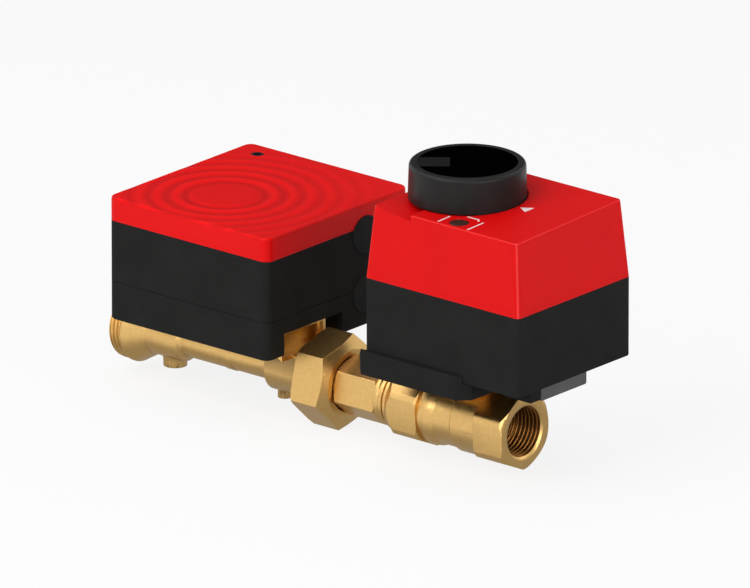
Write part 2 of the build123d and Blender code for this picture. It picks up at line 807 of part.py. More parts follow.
# Flow-sensor tube: brass casting with the saddle that carries the housing
inlet_collar_x = inlet_x + inlet_chamfer + inlet_grooves * pipe_pitch
collar_end_x = inlet_collar_x + inlet_collar_length
taper_end_x = collar_end_x + inlet_taper_length
thick_start_x = taper_end_x + inlet_run_out
thick_end_x = thick_start_x + thick_tube_length
block_back_x = neck_block_x - neck_block_length
ring_x = probe_x - ring_length / 2
saddle_inlet_x = housing_inlet_x + saddle_inlet_margin
saddle_outlet_x = housing_outlet_x - saddle_margin
saddle_width = saddle_front + saddle_back
saddle_y = (saddle_back - saddle_front) / 2
saddle_middle = (saddle_inlet_x + saddle_outlet_x) / 2
pad_bottom = saddle_top - saddle_plate
pocket_height = saddle_top - saddle_wall - neck_block_half
inlet_thread = thread_points(inlet_x + inlet_chamfer, 1, inlet_crest, inlet_root, inlet_grooves)
with BuildPart() as sensor_tube:
    with BuildSketch():
        with BuildLine():
            Polyline(
                (inlet_x, 0),
                (inlet_x, inlet_crest - inlet_chamfer),
                *inlet_thread[:-1],
                (inlet_collar_x, inlet_collar_radius),
                (collar_end_x, inlet_collar_radius),
            )
            Polyline(
                (collar_end_x, inlet_collar_radius),
                (taper_end_x, inlet_taper_radius),
                (thick_start_x, thick_tube_radius),
                (thick_end_x, thick_tube_radius),
                (thick_end_x + thick_tube_radius - thin_tube_radius, thin_tube_radius),
                (ring_x, thin_tube_radius),
                (ring_x + ring_chamfer, ring_radius),
                (ring_x + ring_length - ring_chamfer, ring_radius),
                (ring_x + ring_length, thin_tube_radius),
                (neck_block_x, thin_tube_radius),
                (neck_block_x, union_thread_radius),
                (tube_end_x - inlet_chamfer, union_thread_radius),
                (tube_end_x, union_thread_radius - inlet_chamfer),
                (tube_end_x, 0),
                (inlet_x, 0),
            )
        make_face()
    revolve(axis=Axis.X)
    with BuildSketch(Plane.YZ.offset(block_back_x)):
        Circle(neck_block_half)
        with Locations((0, neck_block_half / 2)):
            Rectangle(2 * neck_block_half, neck_block_half)
    extrude(amount=neck_block_length)
    with BuildSketch(Plane.XY.offset(pad_bottom)):
        with Locations((saddle_middle, saddle_y)):
            Rectangle(saddle_outlet_x - saddle_inlet_x, saddle_width)
    extrude(amount=saddle_plate)
    with BuildSketch():
        with Locations((transducer_xs[0], 0)):
            Circle(transducer_radius + saddle_wall)
        with Locations((probe_x, 0)):
            Circle(probe_boss_radius)
    extrude(amount=pad_bottom)
    with BuildSketch(Plane.XY.offset(pad_bottom - housing_wall)):
        with Locations(*saddle_screws):
            Circle(screw_head_radius)
    extrude(amount=housing_wall)
    with BuildSketch(Plane.XY.offset(neck_block_half - saddle_wall)):
        with Locations((saddle_outlet_x - saddle_block_length / 2, saddle_y)):
            Rectangle(saddle_block_length, saddle_width)
    extrude(amount=pad_bottom - neck_block_half + saddle_wall)
    with BuildSketch(Plane.YZ.offset(saddle_outlet_x)):
        with Locations((saddle_y, neck_block_half + pocket_height / 2)):
            Rectangle(saddle_width - 2 * saddle_wall, pocket_height)
    extrude(amount=-saddle_pocket_depth, mode=Mode.SUBTRACT)
    drain_x = transducer_xs[0]
    with BuildSketch(Plane.XY.offset(-drain_root_depth)):
        with Locations((drain_x, 0)):
            Circle(drain_radius)
    with BuildSketch():
        with Locations((drain_x, 0)):
            Circle(drain_root_radius)
    loft()
    with BuildSketch(Plane.XY.offset(-drain_depth)):
        with Locations((drain_x, 0)):
            Circle(drain_radius)
    extrude(amount=drain_depth)
    with BuildSketch(Plane.XY.offset(-plug_boss_depth)):
        with Locations((transducer_xs[1], 0)):
            Circle(plug_boss_radius)
    extrude(amount=plug_boss_depth)
    with BuildSketch():
        with BuildLine():
            Polyline(
                (inlet_x, 0),
                (inlet_x, inlet_mouth),
                (inlet_x + inlet_mouth_length, inlet_mouth),
                (inlet_x + inlet_mouth_length + inlet_cone_length, tube_bore),
                (neck_block_x, tube_bore),
                (neck_block_x + run_bore - tube_bore, run_bore),
                (tube_end_x, run_bore),
                (tube_end_x, 0),
                close=True,
            )
        make_face()
    revolve(axis=Axis.X, mode=Mode.SUBTRACT)
    with BuildSketch():
        with Locations(*[(x, 0) for x in transducer_xs]):
            Circle(transducer_radius + thread_gap)
    extrude(amount=saddle_top, mode=Mode.SUBTRACT)
    with BuildSketch():
        with Locations((probe_x, 0)):
            Circle(probe_radius + thread_gap)
    extrude(amount=saddle_top, mode=Mode.SUBTRACT)
    with BuildSketch(Plane.XY.offset(saddle_top)):
        with Locations(*saddle_screws):
            Circle(screw_core)
    extrude(amount=-saddle_plate - housing_wall, mode=Mode.SUBTRACT)

# Transducers: two ultrasonic pucks let into the saddle, their face flush with the bore
with BuildPart() as transducers:
    with BuildSketch(Plane.XY.offset(tube_bore)):
        with Locations(*[(x, 0) for x in transducer_xs]):
            Circle(transducer_radius)
    extrude(amount=saddle_top - tube_bore)
    with BuildSketch(Plane.XY.offset(saddle_top)):
        with Locations(*[(x, 0) for x in transducer_xs]):
            Circle(transducer_stub_radius)
    extrude(amount=transducer_stub_height)

# Temperature probe: thin pin that reaches into the flow
with BuildPart() as temperature_probe:
    with BuildSketch(Plane.XY.offset(tube_bore / 2)):
        with Locations((probe_x, 0)):
            Circle(probe_radius)
    extrude(amount=saddle_top + transducer_stub_height - tube_bore / 2)


def housing_outline(inset):
    """Rounded plan outline of the sensor housing, drawn in by an inset."""
    corner = max(housing_corner - inset, least_corner)
    with BuildSketch() as outline:
        with Locations((housing_middle, housing_y)):
            RectangleRounded(housing_length - 2 * inset, housing_width - 2 * inset, corner)
    return outline.sketch


def housing_ring(bottom, top, outer_inset, inner_inset):
    """Upright wall that follows the housing's outline between two insets."""
    with BuildPart() as wall:
        with BuildSketch(Plane.XY.offset(bottom)):
            add(housing_outline(outer_inset))
            add(housing_outline(inner_inset), mode=Mode.SUBTRACT)
        extrude(amount=top - bottom)
    return wall.part


def cable_plug(height):
    """Round blanking plug in the housing's outlet wall, with a lip inside the wall."""
    with BuildPart() as plug:
        with BuildSketch(Plane.YZ.offset(housing_outlet_x - housing_wall)):
            with Locations((cable_plug_back, height)):
                Circle(cable_plug_radius)
        extrude(amount=housing_wall + cable_plug_proud)
        face = plug.faces().sort_by(Axis.X)[-1]
        fillet(face.edges(), cable_plug_round)
        with BuildSketch(Plane.YZ.offset(housing_outlet_x - housing_wall - push_gap)):
            with Locations((cable_plug_back, height)):
                Circle(cable_plug_radius + cable_plug_lip)
        extrude(amount=-cable_plug_lip_length)
        with BuildSketch(Plane.YZ.offset(housing_outlet_x - housing_wall)):
            with Locations((cable_plug_back, height)):
                Circle(cable_plug_radius)
        extrude(amount=-push_gap)
    return plug.part


def cable_plug_hole(height):
    """Hole for a blanking plug, through the housing's outlet wall."""
    with BuildPart() as hole:
        with BuildSketch(Plane.YZ.offset(housing_outlet_x + overcut)):
            with Locations((cable_plug_back, height)):
                Circle(cable_plug_radius + thread_gap)
        extrude(amount=-housing_wall - 2 * overcut)
    return hole.part


# Housing base: black tray whose floor bridges the saddle as a tunnel along X
seal_inset = (housing_wall - seal_width) / 2 - push_gap
groove_inset = housing_wall - seal_inset
tunnel_middle = (tunnel_back - tunnel_front) / 2
tunnel_width = tunnel_front + tunnel_back
with BuildPart() as housing_base:
    with BuildSketch(Plane.XY.offset(housing_bottom)):
        add(housing_outline(0))
    extrude(amount=seam_height - housing_bottom)
    fillet(housing_base.edges().group_by(Axis.Z)[0], bottom_round)
    chamfer(housing_base.edges().group_by(Axis.Z)[-1], seam_chamfer)
    with BuildSketch(Plane.XY.offset(housing_bottom + housing_floor)):
        add(housing_outline(housing_wall))
    extrude(amount=seam_height - housing_bottom - housing_floor, mode=Mode.SUBTRACT)
    with BuildSketch(Plane.XY.offset(housing_bottom + housing_floor)):
        with Locations((housing_middle, tunnel_middle)):
            Rectangle(housing_length - 2 * housing_wall, tunnel_width + 2 * housing_floor)
    extrude(amount=tunnel_top - housing_bottom)
    with BuildSketch(Plane.XY.offset(housing_bottom)):
        with Locations((housing_middle, tunnel_middle)):
            Rectangle(housing_length, tunnel_width)
    extrude(amount=tunnel_top - housing_bottom, mode=Mode.SUBTRACT)
    with BuildSketch(Plane.XY.offset(tunnel_top)):
        with Locations(*board_posts):
            Circle(board_post_radius)
    extrude(amount=sensor_board_height - tunnel_top)
    with BuildSketch(Plane.XY.offset(housing_bottom + housing_floor / 2)):
        with Locations(*[post for post in board_posts if post[1] > tunnel_back]):
            Circle(board_post_radius)
    extrude(amount=tunnel_top - housing_bottom)
    with BuildSketch(Plane.XY.offset(sensor_board_height)):
        with Locations(*board_posts):
            Circle(screw_core)
    extrude(amount=-screw_length, mode=Mode.SUBTRACT)
    with BuildSketch(Plane.XY.offset(tunnel_top)):
        with Locations(*saddle_screws):
            Circle(screw_radius + push_gap)
        with Locations((probe_x, 0), *[(x, 0) for x in transducer_xs]):
            Circle(transducer_stub_radius + push_gap)
    extrude(amount=housing_floor, mode=Mode.SUBTRACT)
    add(housing_ring(seam_height - seal_depth, seam_height, seal_inset, groove_inset), mode=Mode.SUBTRACT)
    add(cable_plug_hole(lower_plug_height), mode=Mode.SUBTRACT)

# Base screws: four that hold the housing down on the saddle
with BuildPart() as base_screws:
    for x, y in saddle_screws:
        add(screw(x, y, tunnel_top + housing_floor, saddle_screw_length))

# Housing body: black wall between base and lid, with the post for the lid screw
with BuildPart() as housing_body:
    with BuildSketch(Plane.XY.offset(seam_height)):
        add(housing_outline(0))
    extrude(amount=parting_height - seam_height)
    chamfer(housing_body.edges().group_by(Axis.Z)[0], seam_chamfer)
    with BuildSketch(Plane.XY.offset(seam_height)):
        add(housing_outline(housing_wall))
    extrude(amount=parting_height - seam_height, mode=Mode.SUBTRACT)
    with BuildSketch(Plane.XY.offset(seam_height + seal_depth)):
        with Locations(lid_screw_at):
            Circle(lid_post_radius)
        with Locations((lid_screw_at[0], housing_back - lid_screw_back / 2)):
            Rectangle(lid_post_web, lid_screw_back)
    extrude(amount=parting_height - seam_height - seal_depth)
    with BuildSketch(Plane.XY.offset(parting_height)):
        with Locations(lid_screw_at):
            Circle(screw_core)
    extrude(amount=-2 * screw_length, mode=Mode.SUBTRACT)
    body_groove = housing_ring(parting_height - seal_depth, parting_height, seal_inset, groove_inset)
    add(body_groove, mode=Mode.SUBTRACT)
    for height in (lower_plug_height, upper_plug_height):
        add(cable_plug_hole(height), mode=Mode.SUBTRACT)


def seal_ring(top, plug_height):
    """Rubber seal in the groove below a joint, cut away where a cable plug crosses it."""
    with BuildPart() as seal:
        inset = seal_inset + push_gap
        add(housing_ring(top - seal_depth, top, inset, inset + seal_width))
        with BuildSketch(Plane.YZ.offset(housing_outlet_x)):
            with Locations((cable_plug_back, plug_height)):
                Circle(cable_plug_radius + stop_gap)
        extrude(amount=-housing_wall, mode=Mode.SUBTRACT)
    return seal.part


# Seals under the body and under the lid
with BuildPart() as base_seal:
    add(seal_ring(seam_height, lower_plug_height))

with BuildPart() as lid_seal:
    add(seal_ring(parting_height, upper_plug_height))

# Housing lid: red cover with rings of shallow ripples and one screw at the back
lid_height_above = lid_height - parting_height
lid_tab_y = -housing_front + housing_wall + push_gap + lid_tab_thickness / 2
ripple_centre = (housing_inlet_x + ripple_inset, ripple_offset)
ripple_points = []
for quarter in range(4 * ripple_count + 1):
    fade = 1 - ripple_fade * quarter / (4 * ripple_count)
    depth = ripple_crest + ripple_depth * fade * (1 - cos(quarter * pi / 2)) / 2
    ripple_points.append((ripple_start + quarter * ripple_length / 4, lid_height - depth))
ripple_plane = Plane(origin=(*ripple_centre, 0), x_dir=(1, 0, 0), z_dir=(0, -1, 0))
with BuildPart() as housing_lid:
    with BuildSketch(Plane.XY.offset(parting_height)):
        add(housing_outline(0))
    extrude(amount=lid_height_above)
    fillet(housing_lid.edges().group_by(Axis.Z)[-1], lid_round)
    with BuildSketch(Plane.XY.offset(parting_height)):
        add(housing_outline(housing_wall))
    extrude(amount=lid_height_above - lid_ceiling, mode=Mode.SUBTRACT)
    with BuildSketch(Plane.XY.offset(parting_height)):
        with Locations(lid_screw_at):
            Circle(lid_post_radius)
    extrude(amount=lid_height_above - lid_ceiling / 2)
    with BuildSketch(Plane.XY.offset(parting_height - lid_tab_depth)):
        with Locations((housing_middle, lid_tab_y)):
            with GridLocations(lid_tab_spacing, 1, 2, 1):
                Rectangle(lid_tab_width, lid_tab_thickness)
    extrude(amount=lid_tab_depth + lid_height_above - lid_ceiling / 2)
    with BuildSketch(ripple_plane):
        with BuildLine():
            Spline(*ripple_points)
            Polyline(
                ripple_points[-1],
                (ripple_points[-1][0], lid_height + overcut),
                (ripple_start, lid_height + overcut),
                ripple_points[0],
            )
        make_face()
    revolve(axis=Axis((*ripple_centre, 0), (0, 0, 1)), mode=Mode.SUBTRACT)
    with BuildSketch(Plane.XY.offset(lid_height)):
        with Locations(lid_screw_at):
            Circle(screw_head_radius + push_gap)
    extrude(amount=-lid_screw_sink, mode=Mode.SUBTRACT)
    with BuildSketch(Plane.XY.offset(lid_height)):
        with Locations(lid_screw_at):
            Circle(screw_radius + push_gap)
    extrude(amount=-lid_height_above, mode=Mode.SUBTRACT)
    add(cable_plug_hole(upper_plug_height), mode=Mode.SUBTRACT)

# Lid screw: sunk in the lid and driven into the body's post
lid_screw_base = lid_height - lid_screw_sink
with BuildPart() as lid_screw:
    add(screw(*lid_screw_at, lid_screw_base, lid_screw_base - parting_height + screw_length))

# Cable plugs: rubber blanks in the two cable entries
with BuildPart() as cable_plug_upper:
    add(cable_plug(upper_plug_height))

with BuildPart() as cable_plug_lower:
    add(cable_plug(lower_plug_height))

# Sensor board with its terminals and four screws
board_length = housing_length - 2 * sensor_board_margin
board_width = sensor_board_front + sensor_board_back
board_y = (sensor_board_back - sensor_board_front) / 2
board_top = sensor_board_height + board_thickness
terminal_x = housing_outlet_x - sensor_board_margin - 2 * terminal_length
with BuildPart() as sensor_board:
    with BuildSketch(Plane.XY.offset(sensor_board_height)):
        with Locations((housing_middle, board_y)):
            RectangleRounded(board_length, board_width, board_corner)
        with Locations(*board_posts):
            Circle(screw_core + push_gap, mode=Mode.SUBTRACT)
    extrude(amount=board_thickness)

with BuildPart() as board_screws:
    for x, y in board_posts:
        add(screw(x, y, board_top, screw_length))

with BuildPart() as terminal_blocks:
    with BuildSketch(Plane.XY.offset(board_top)):
        with Locations((terminal_x, board_y)):
            with GridLocations(1, terminal_spacing, 1, 2):
                Rectangle(terminal_length, terminal_width)
    extrude(amount=terminal_height)
    chamfer(terminal_blocks.edges().group_by(Axis.Z)[-1].filter_by(Axis.Y), terminal_chamfer)

# Adapter plate: black, screwed to the flange, with a lip along its front and back
with BuildPart() as adapter_plate:
    with BuildSketch(Plane.XY.offset(adapter_bottom)) as adapter_plan:
        with Locations((stem_x - adapter_shift, actuator_centre_y)):
            Rectangle(adapter_length, actuator_width + 2 * adapter_margin)
        chamfer(adapter_plan.vertices(), adapter_corner)
    extrude(amount=adapter_floor + adapter_lip_height - adapter_bottom)
    fillet(adapter_plate.edges().group_by(Axis.Z)[-1], adapter_round)
    with BuildSketch(Plane.XY.offset(adapter_floor)):
        with Locations((stem_x - adapter_shift, actuator_centre_y)):
            Rectangle(adapter_length, actuator_width + 2 * push_gap)
    extrude(amount=adapter_lip_height, mode=Mode.SUBTRACT)
    with BuildSketch(Plane.XY.offset(adapter_bottom)):
        with Locations((stem_x, 0)):
            Circle(adapter_hole)
        with Locations(*flange_screws):
            Circle(screw_radius + push_gap)
    extrude(amount=adapter_floor - adapter_bottom, mode=Mode.SUBTRACT)
    with BuildSketch(Plane.XY.offset(adapter_floor)):
        with Locations(*flange_screws):
            Circle(screw_head_radius + push_gap)
    extrude(amount=-adapter_screw_sink, mode=Mode.SUBTRACT)

# Adapter screws: four down into the brass flange
adapter_screw_base = adapter_floor - adapter_screw_sink
with BuildPart() as adapter_screws:
    for x, y in flange_screws:
        length = adapter_screw_base - flange_top + flange_thickness - stop_gap
        add(screw(x, y, adapter_screw_base, length))

# Actuator base: black shell with the hub's bearing, the gear axle bosses and the posts
block_outlet_x = stem_x + actuator_outlet_side - cable_block_end_gap
block_middle = block_outlet_x - cable_block_length / 2
base_inside = actuator_bottom + actuator_wall
bearing_top = output_gear_bottom - hub_flange_length - stop_gap
second_boss_top = output_gear_bottom - stop_gap
first_boss_top = first_pinion_bottom - stop_gap
rod_hole_bottom = button_rod_end - button_travel - overcut
with BuildPart() as actuator_base:
    with BuildSketch(Plane.XY.offset(actuator_bottom)):
        with Locations((actuator_middle, actuator_centre_y)):
            RectangleRounded(actuator_length, actuator_width, actuator_corner)
    extrude(amount=cap_bottom - actuator_bottom)
    fillet(actuator_base.edges().group_by(Axis.Z)[0], actuator_round)
    with BuildSketch(Plane.XY.offset(cable_rib_bottom)):
        with Locations((block_middle, -(cable_rib_front + cable_rib_back) / 2)):
            Rectangle(cable_block_length, cable_rib_front - cable_rib_back)
    extrude(amount=base_inside - cable_rib_bottom)
    with BuildSketch(Plane.XY.offset(base_inside)):
        with Locations((actuator_middle, actuator_centre_y)):
            Rectangle(actuator_length - 2 * actuator_wall, actuator_width - 2 * actuator_wall)
    extrude(amount=cap_bottom - base_inside, mode=Mode.SUBTRACT)
    with BuildSketch(Plane.XY.offset(base_inside)):
        with Locations((stem_x, 0)):
            Circle(hub_radius + bearing_wall)
    extrude(amount=bearing_top - base_inside)
    with BuildSketch(Plane.XY.offset(base_inside)):
        with Locations(second_centre, first_centre):
            Circle(gear_boss_radius)
    extrude(amount=second_boss_top - base_inside)
    with BuildSketch(Plane.XY.offset(second_boss_top)):
        with Locations(first_centre):
            Circle(gear_boss_radius)
    extrude(amount=first_boss_top - second_boss_top)
    with BuildSketch(Plane.XY.offset(base_inside)):
        with Locations(*plate_posts):
            Circle(gear_boss_radius)
    extrude(amount=gear_plate_bottom - base_inside)
    with BuildSketch(Plane.XY.offset(base_inside)):
        with Locations(*corner_posts):
            Circle(post_radius)
    extrude(amount=cap_bottom - base_inside)
    with BuildSketch(Plane.XY.offset(base_inside)):
        with Locations(button_at):
            Circle(button_column_radius)
    extrude(amount=button_column_top - base_inside)
    with BuildSketch(Plane.XY.offset(button_column_top)):
        with Locations(button_at):
            Circle(button_rod_radius + shaft_gap)
    extrude(amount=rod_hole_bottom - button_column_top, mode=Mode.SUBTRACT)
    with BuildSketch(Plane.XY.offset(actuator_bottom)):
        with Locations((stem_x, 0)):
            Circle(hub_radius + shaft_gap)
        with Locations(*corner_posts):
            Circle(screw_radius + push_gap)
    extrude(amount=cap_bottom - actuator_bottom, mode=Mode.SUBTRACT)
    with BuildSketch(Plane.XY.offset(actuator_bottom)):
        with Locations(*corner_posts):
            Circle(screw_head_radius + push_gap)
        with Locations((block_middle, 0)):
            Rectangle(cable_block_length + 2 * push_gap, cable_block_width + 2 * push_gap)
    extrude(amount=actuator_wall, mode=Mode.SUBTRACT)
    with BuildSketch(Plane.XY.offset(second_boss_top)):
        with Locations(second_centre):
            Circle(axle_radius)
    extrude(amount=-axle_seat, mode=Mode.SUBTRACT)
    with BuildSketch(Plane.XY.offset(first_boss_top)):
        with Locations(first_centre):
            Circle(axle_radius)
    extrude(amount=-axle_seat, mode=Mode.SUBTRACT)
    with BuildSketch(Plane.XY.offset(gear_plate_bottom)):
        with Locations(*plate_posts):
            Circle(screw_core)
    extrude(amount=-screw_length, mode=Mode.SUBTRACT)

# Cable block: grey plug in the floor, with two holes for the leads
with BuildPart() as cable_block:
    with BuildSketch(Plane.XY.offset(cable_block_bottom)):
        with Locations((block_middle, 0)):
            Rectangle(cable_block_length, cable_block_width)
    extrude(amount=cable_block_top - cable_block_bottom)
    low_edges = cable_block.edges().group_by(Axis.Z)[0]
    chamfer(low_edges.filter_by(Axis.X), cable_block_chamfer)
    with BuildSketch(Plane.XY.offset(base_inside)):
        with Locations((block_middle, 0)):
            Rectangle(cable_block_length + 2 * cable_block_lip, cable_block_width)
    extrude(amount=actuator_wall / 2)
    with BuildSketch(Plane.XY.offset(cable_block_bottom)):
        with Locations((block_middle, 0)):
            with GridLocations(1, cable_hole_spacing, 1, 2):
                Circle(cable_hole_radius)
    extrude(amount=cable_block_top - cable_block_bottom, mode=Mode.SUBTRACT)

# Output hub: steel shaft from the stem's square up to the knob
with BuildPart() as output_hub:
    with BuildSketch(drive_plane.offset(hub_foot)):
        Circle(hub_radius)
    extrude(amount=output_gear_bottom - hub_foot)
    with BuildSketch(drive_plane.offset(output_gear_bottom - hub_flange_length)):
        Circle(hub_flange_radius)
    extrude(amount=hub_flange_length)
    with BuildSketch(drive_plane.offset(output_gear_bottom)):
        RegularPolygon(hub_hex_flats / sqrt(3), 6)
    extrude(amount=output_gear_width)
    with BuildSketch(drive_plane.offset(output_gear_bottom + output_gear_width)):
        Circle(hub_waist_radius)
    extrude(amount=hub_waist_top - output_gear_bottom - output_gear_width)
    with BuildSketch(drive_plane.offset(hub_waist_top)):
        Circle(hub_shaft_radius)
    extrude(amount=hub_shoulder - hub_waist_top)
    with BuildSketch(drive_plane.offset(hub_shoulder)):
        RegularPolygon(hub_top_flats / sqrt(3), 6)
    extrude(amount=hub_top_length)
    with BuildSketch(drive_plane.offset(hub_foot)):
        Rectangle(stem_square + push_gap, stem_square + push_gap)
    extrude(amount=adapter_floor - hub_foot + stop_gap, mode=Mode.SUBTRACT)

# Output gear: on the hub's hexagon, turned by the second gear's pinion
with BuildPart() as output_gear:
    with BuildSketch(Plane((stem_x, 0, output_gear_bottom))):
        add(gear_outline(output_teeth, 0))
    extrude(amount=output_gear_width)
    with BuildSketch(drive_plane.offset(output_gear_bottom)):
        RegularPolygon((hub_hex_flats + 2 * thread_gap) / sqrt(3), 6)
    extrude(amount=output_gear_width, mode=Mode.SUBTRACT)


def gear_cluster(centre, turn, pinion_bottom, wheel_bottom):
    """Pinion, wheel and upper boss in one piece, bored for its axle."""
    with BuildPart() as cluster:
        with BuildSketch(Plane((*centre, pinion_bottom))):
            add(gear_outline(pinion_teeth, turn))
        extrude(amount=wheel_bottom - pinion_bottom)
        with BuildSketch(Plane((*centre, wheel_bottom))):
            add(gear_outline(wheel_teeth, turn))
        extrude(amount=wheel_width)
        with BuildSketch(Plane((*centre, wheel_bottom + wheel_width))):
            Circle(gear_boss_radius)
        extrude(amount=gear_plate_bottom - stop_gap - wheel_bottom - wheel_width)
        with BuildSketch(Plane((*centre, pinion_bottom))):
            Circle(axle_radius + shaft_gap)
        extrude(amount=gear_plate_bottom - pinion_bottom, mode=Mode.SUBTRACT)
    return cluster.part


# Second gear, first gear and the motor's pinion
with BuildPart() as second_gear:
    add(gear_cluster(second_centre, second_turn, output_gear_bottom, second_wheel_bottom))

with BuildPart() as first_gear:
    add(gear_cluster(first_centre, first_turn, first_pinion_bottom, first_wheel_bottom))

with BuildPart() as motor_pinion:
    with BuildSketch(Plane((*motor_centre, first_wheel_bottom - gear_step / 2))):
        add(gear_outline(pinion_teeth, motor_turn))
    extrude(amount=wheel_width + gear_step)
    with BuildSketch(Plane((*motor_centre, first_wheel_bottom))):
        Circle(motor_shaft_radius)
    extrude(amount=gear_plate_top + motor_shaft_socket - stop_gap - first_wheel_bottom)

# Gear axles: two steel pins between the base's bosses and the gear plate
with BuildPart() as gear_axles:
    with BuildSketch(Plane.XY.offset(second_boss_top - axle_seat)):
        with Locations(second_centre):
            Circle(axle_radius)
    extrude(amount=gear_plate_top - second_boss_top + axle_seat)
    with BuildSketch(Plane.XY.offset(first_boss_top - axle_seat)):
        with Locations(first_centre):
            Circle(axle_radius)
    extrude(amount=gear_plate_top - first_boss_top + axle_seat)

# Gear plate: steel, on the four posts, with the motor above it
plate_length = plate_inlet + plate_outlet + 2 * gear_boss_radius
plate_width = plate_front + plate_back + 2 * gear_boss_radius
plate_middle = (stem_x + (plate_outlet - plate_inlet) / 2, (plate_back - plate_front) / 2)
with BuildPart() as gear_plate:
    with BuildSketch(Plane.XY.offset(gear_plate_bottom)):
        with Locations(plate_middle):
            RectangleRounded(plate_length, plate_width, plate_corner)
        with Locations((stem_x, 0)):
            Circle(hub_shaft_radius + shaft_gap, mode=Mode.SUBTRACT)
        with Locations(second_centre, first_centre):
            Circle(axle_radius, mode=Mode.SUBTRACT)
        with Locations(motor_centre):
            Circle(motor_nose_radius + thread_gap, mode=Mode.SUBTRACT)
        with Locations(*plate_posts):
            Circle(screw_core + thread_gap, mode=Mode.SUBTRACT)
        with Locations(*motor_ears):
            Circle(screw_core, mode=Mode.SUBTRACT)
    extrude(amount=gear_plate_thickness)

# Motor: can with two ears and a nose that passes through the plate
with BuildPart() as motor:
    with BuildSketch(Plane.XY.offset(gear_plate_top)):
        with Locations(motor_centre):
            SlotCenterToCenter(motor_ear_spacing, motor_ear_width)
            Circle(motor_radius)
    extrude(amount=motor_ear_thickness)
    with BuildSketch(Plane.XY.offset(gear_plate_top + motor_ear_thickness)):
        with Locations(motor_centre):
            Circle(motor_radius)
    extrude(amount=motor_length - motor_ear_thickness)
    fillet(motor.edges().group_by(Axis.Z)[-1], motor_round)
    with BuildSketch(Plane.XY.offset(gear_plate_bottom)):
        with Locations(motor_centre):
            Circle(motor_nose_radius)
    extrude(amount=gear_plate_thickness)
    with BuildSketch(Plane.XY.offset(gear_plate_bottom)):
        with Locations(motor_centre):
            Circle(motor_shaft_radius + shaft_gap)
    extrude(amount=gear_plate_thickness + motor_shaft_socket, mode=Mode.SUBTRACT)
    with BuildSketch(Plane.XY.offset(gear_plate_top)):
        with Locations(*motor_ears):
            Circle(screw_radius + push_gap)
    extrude(amount=motor_ear_thickness, mode=Mode.SUBTRACT)

# Motor screws: one through each ear
motor_screw_length = motor_ear_thickness + gear_plate_thickness
with BuildPart() as motor_screws:
    for x, y in motor_ears:
        add(screw(x, y, gear_plate_top + motor_ear_thickness, motor_screw_length))

# Standoffs: hold the gear plate on its posts and carry the board above the motor
with BuildPart() as board_standoffs:
    with BuildSketch(Plane.XY.offset(gear_plate_top)):
        with Locations(*plate_posts):
            RegularPolygon(standoff_flats / sqrt(3), 6)
    extrude(amount=actuator_board_height - gear_plate_top)
    with BuildSketch(Plane.XY.offset(gear_plate_top)):
        with Locations(*plate_posts):
            Circle(screw_core - thread_gap)
    extrude(amount=-screw_length)
    with BuildSketch(Plane.XY.offset(actuator_board_height)):
        with Locations(*plate_posts):
            Circle(screw_core)
    extrude(amount=-screw_length, mode=Mode.SUBTRACT)

# Actuator board: drives the motor, with a hole that the hub passes through
with BuildPart() as actuator_board:
    with BuildSketch(Plane.XY.offset(actuator_board_height)):
        with Locations(plate_middle):
            RectangleRounded(plate_length, plate_width, plate_corner)
        with Locations((stem_x, 0)):
            Circle(board_cutout_radius, mode=Mode.SUBTRACT)
        with Locations(*plate_posts):
            Circle(screw_core + push_gap, mode=Mode.SUBTRACT)
    extrude(amount=board_thickness)

with BuildPart() as actuator_board_screws:
    for x, y in plate_posts:
        add(screw(x, y, actuator_board_height + board_thickness, screw_length))


def cap_outline(height, inset):
    """Plan outline of the tapered cap at a height, drawn in by an inset."""
    share = (height - cap_bottom) / (cap_back_height - cap_bottom)
    with BuildSketch(Plane.XY.offset(height)) as outline:
        with Locations((actuator_middle, actuator_centre_y)):
            RectangleRounded(
                actuator_length - 2 * (inset + cap_draft_x * share),
                actuator_width - 2 * (inset + cap_draft_y * share),
                max(actuator_corner - inset, least_corner),
            )
    return outline.sketch


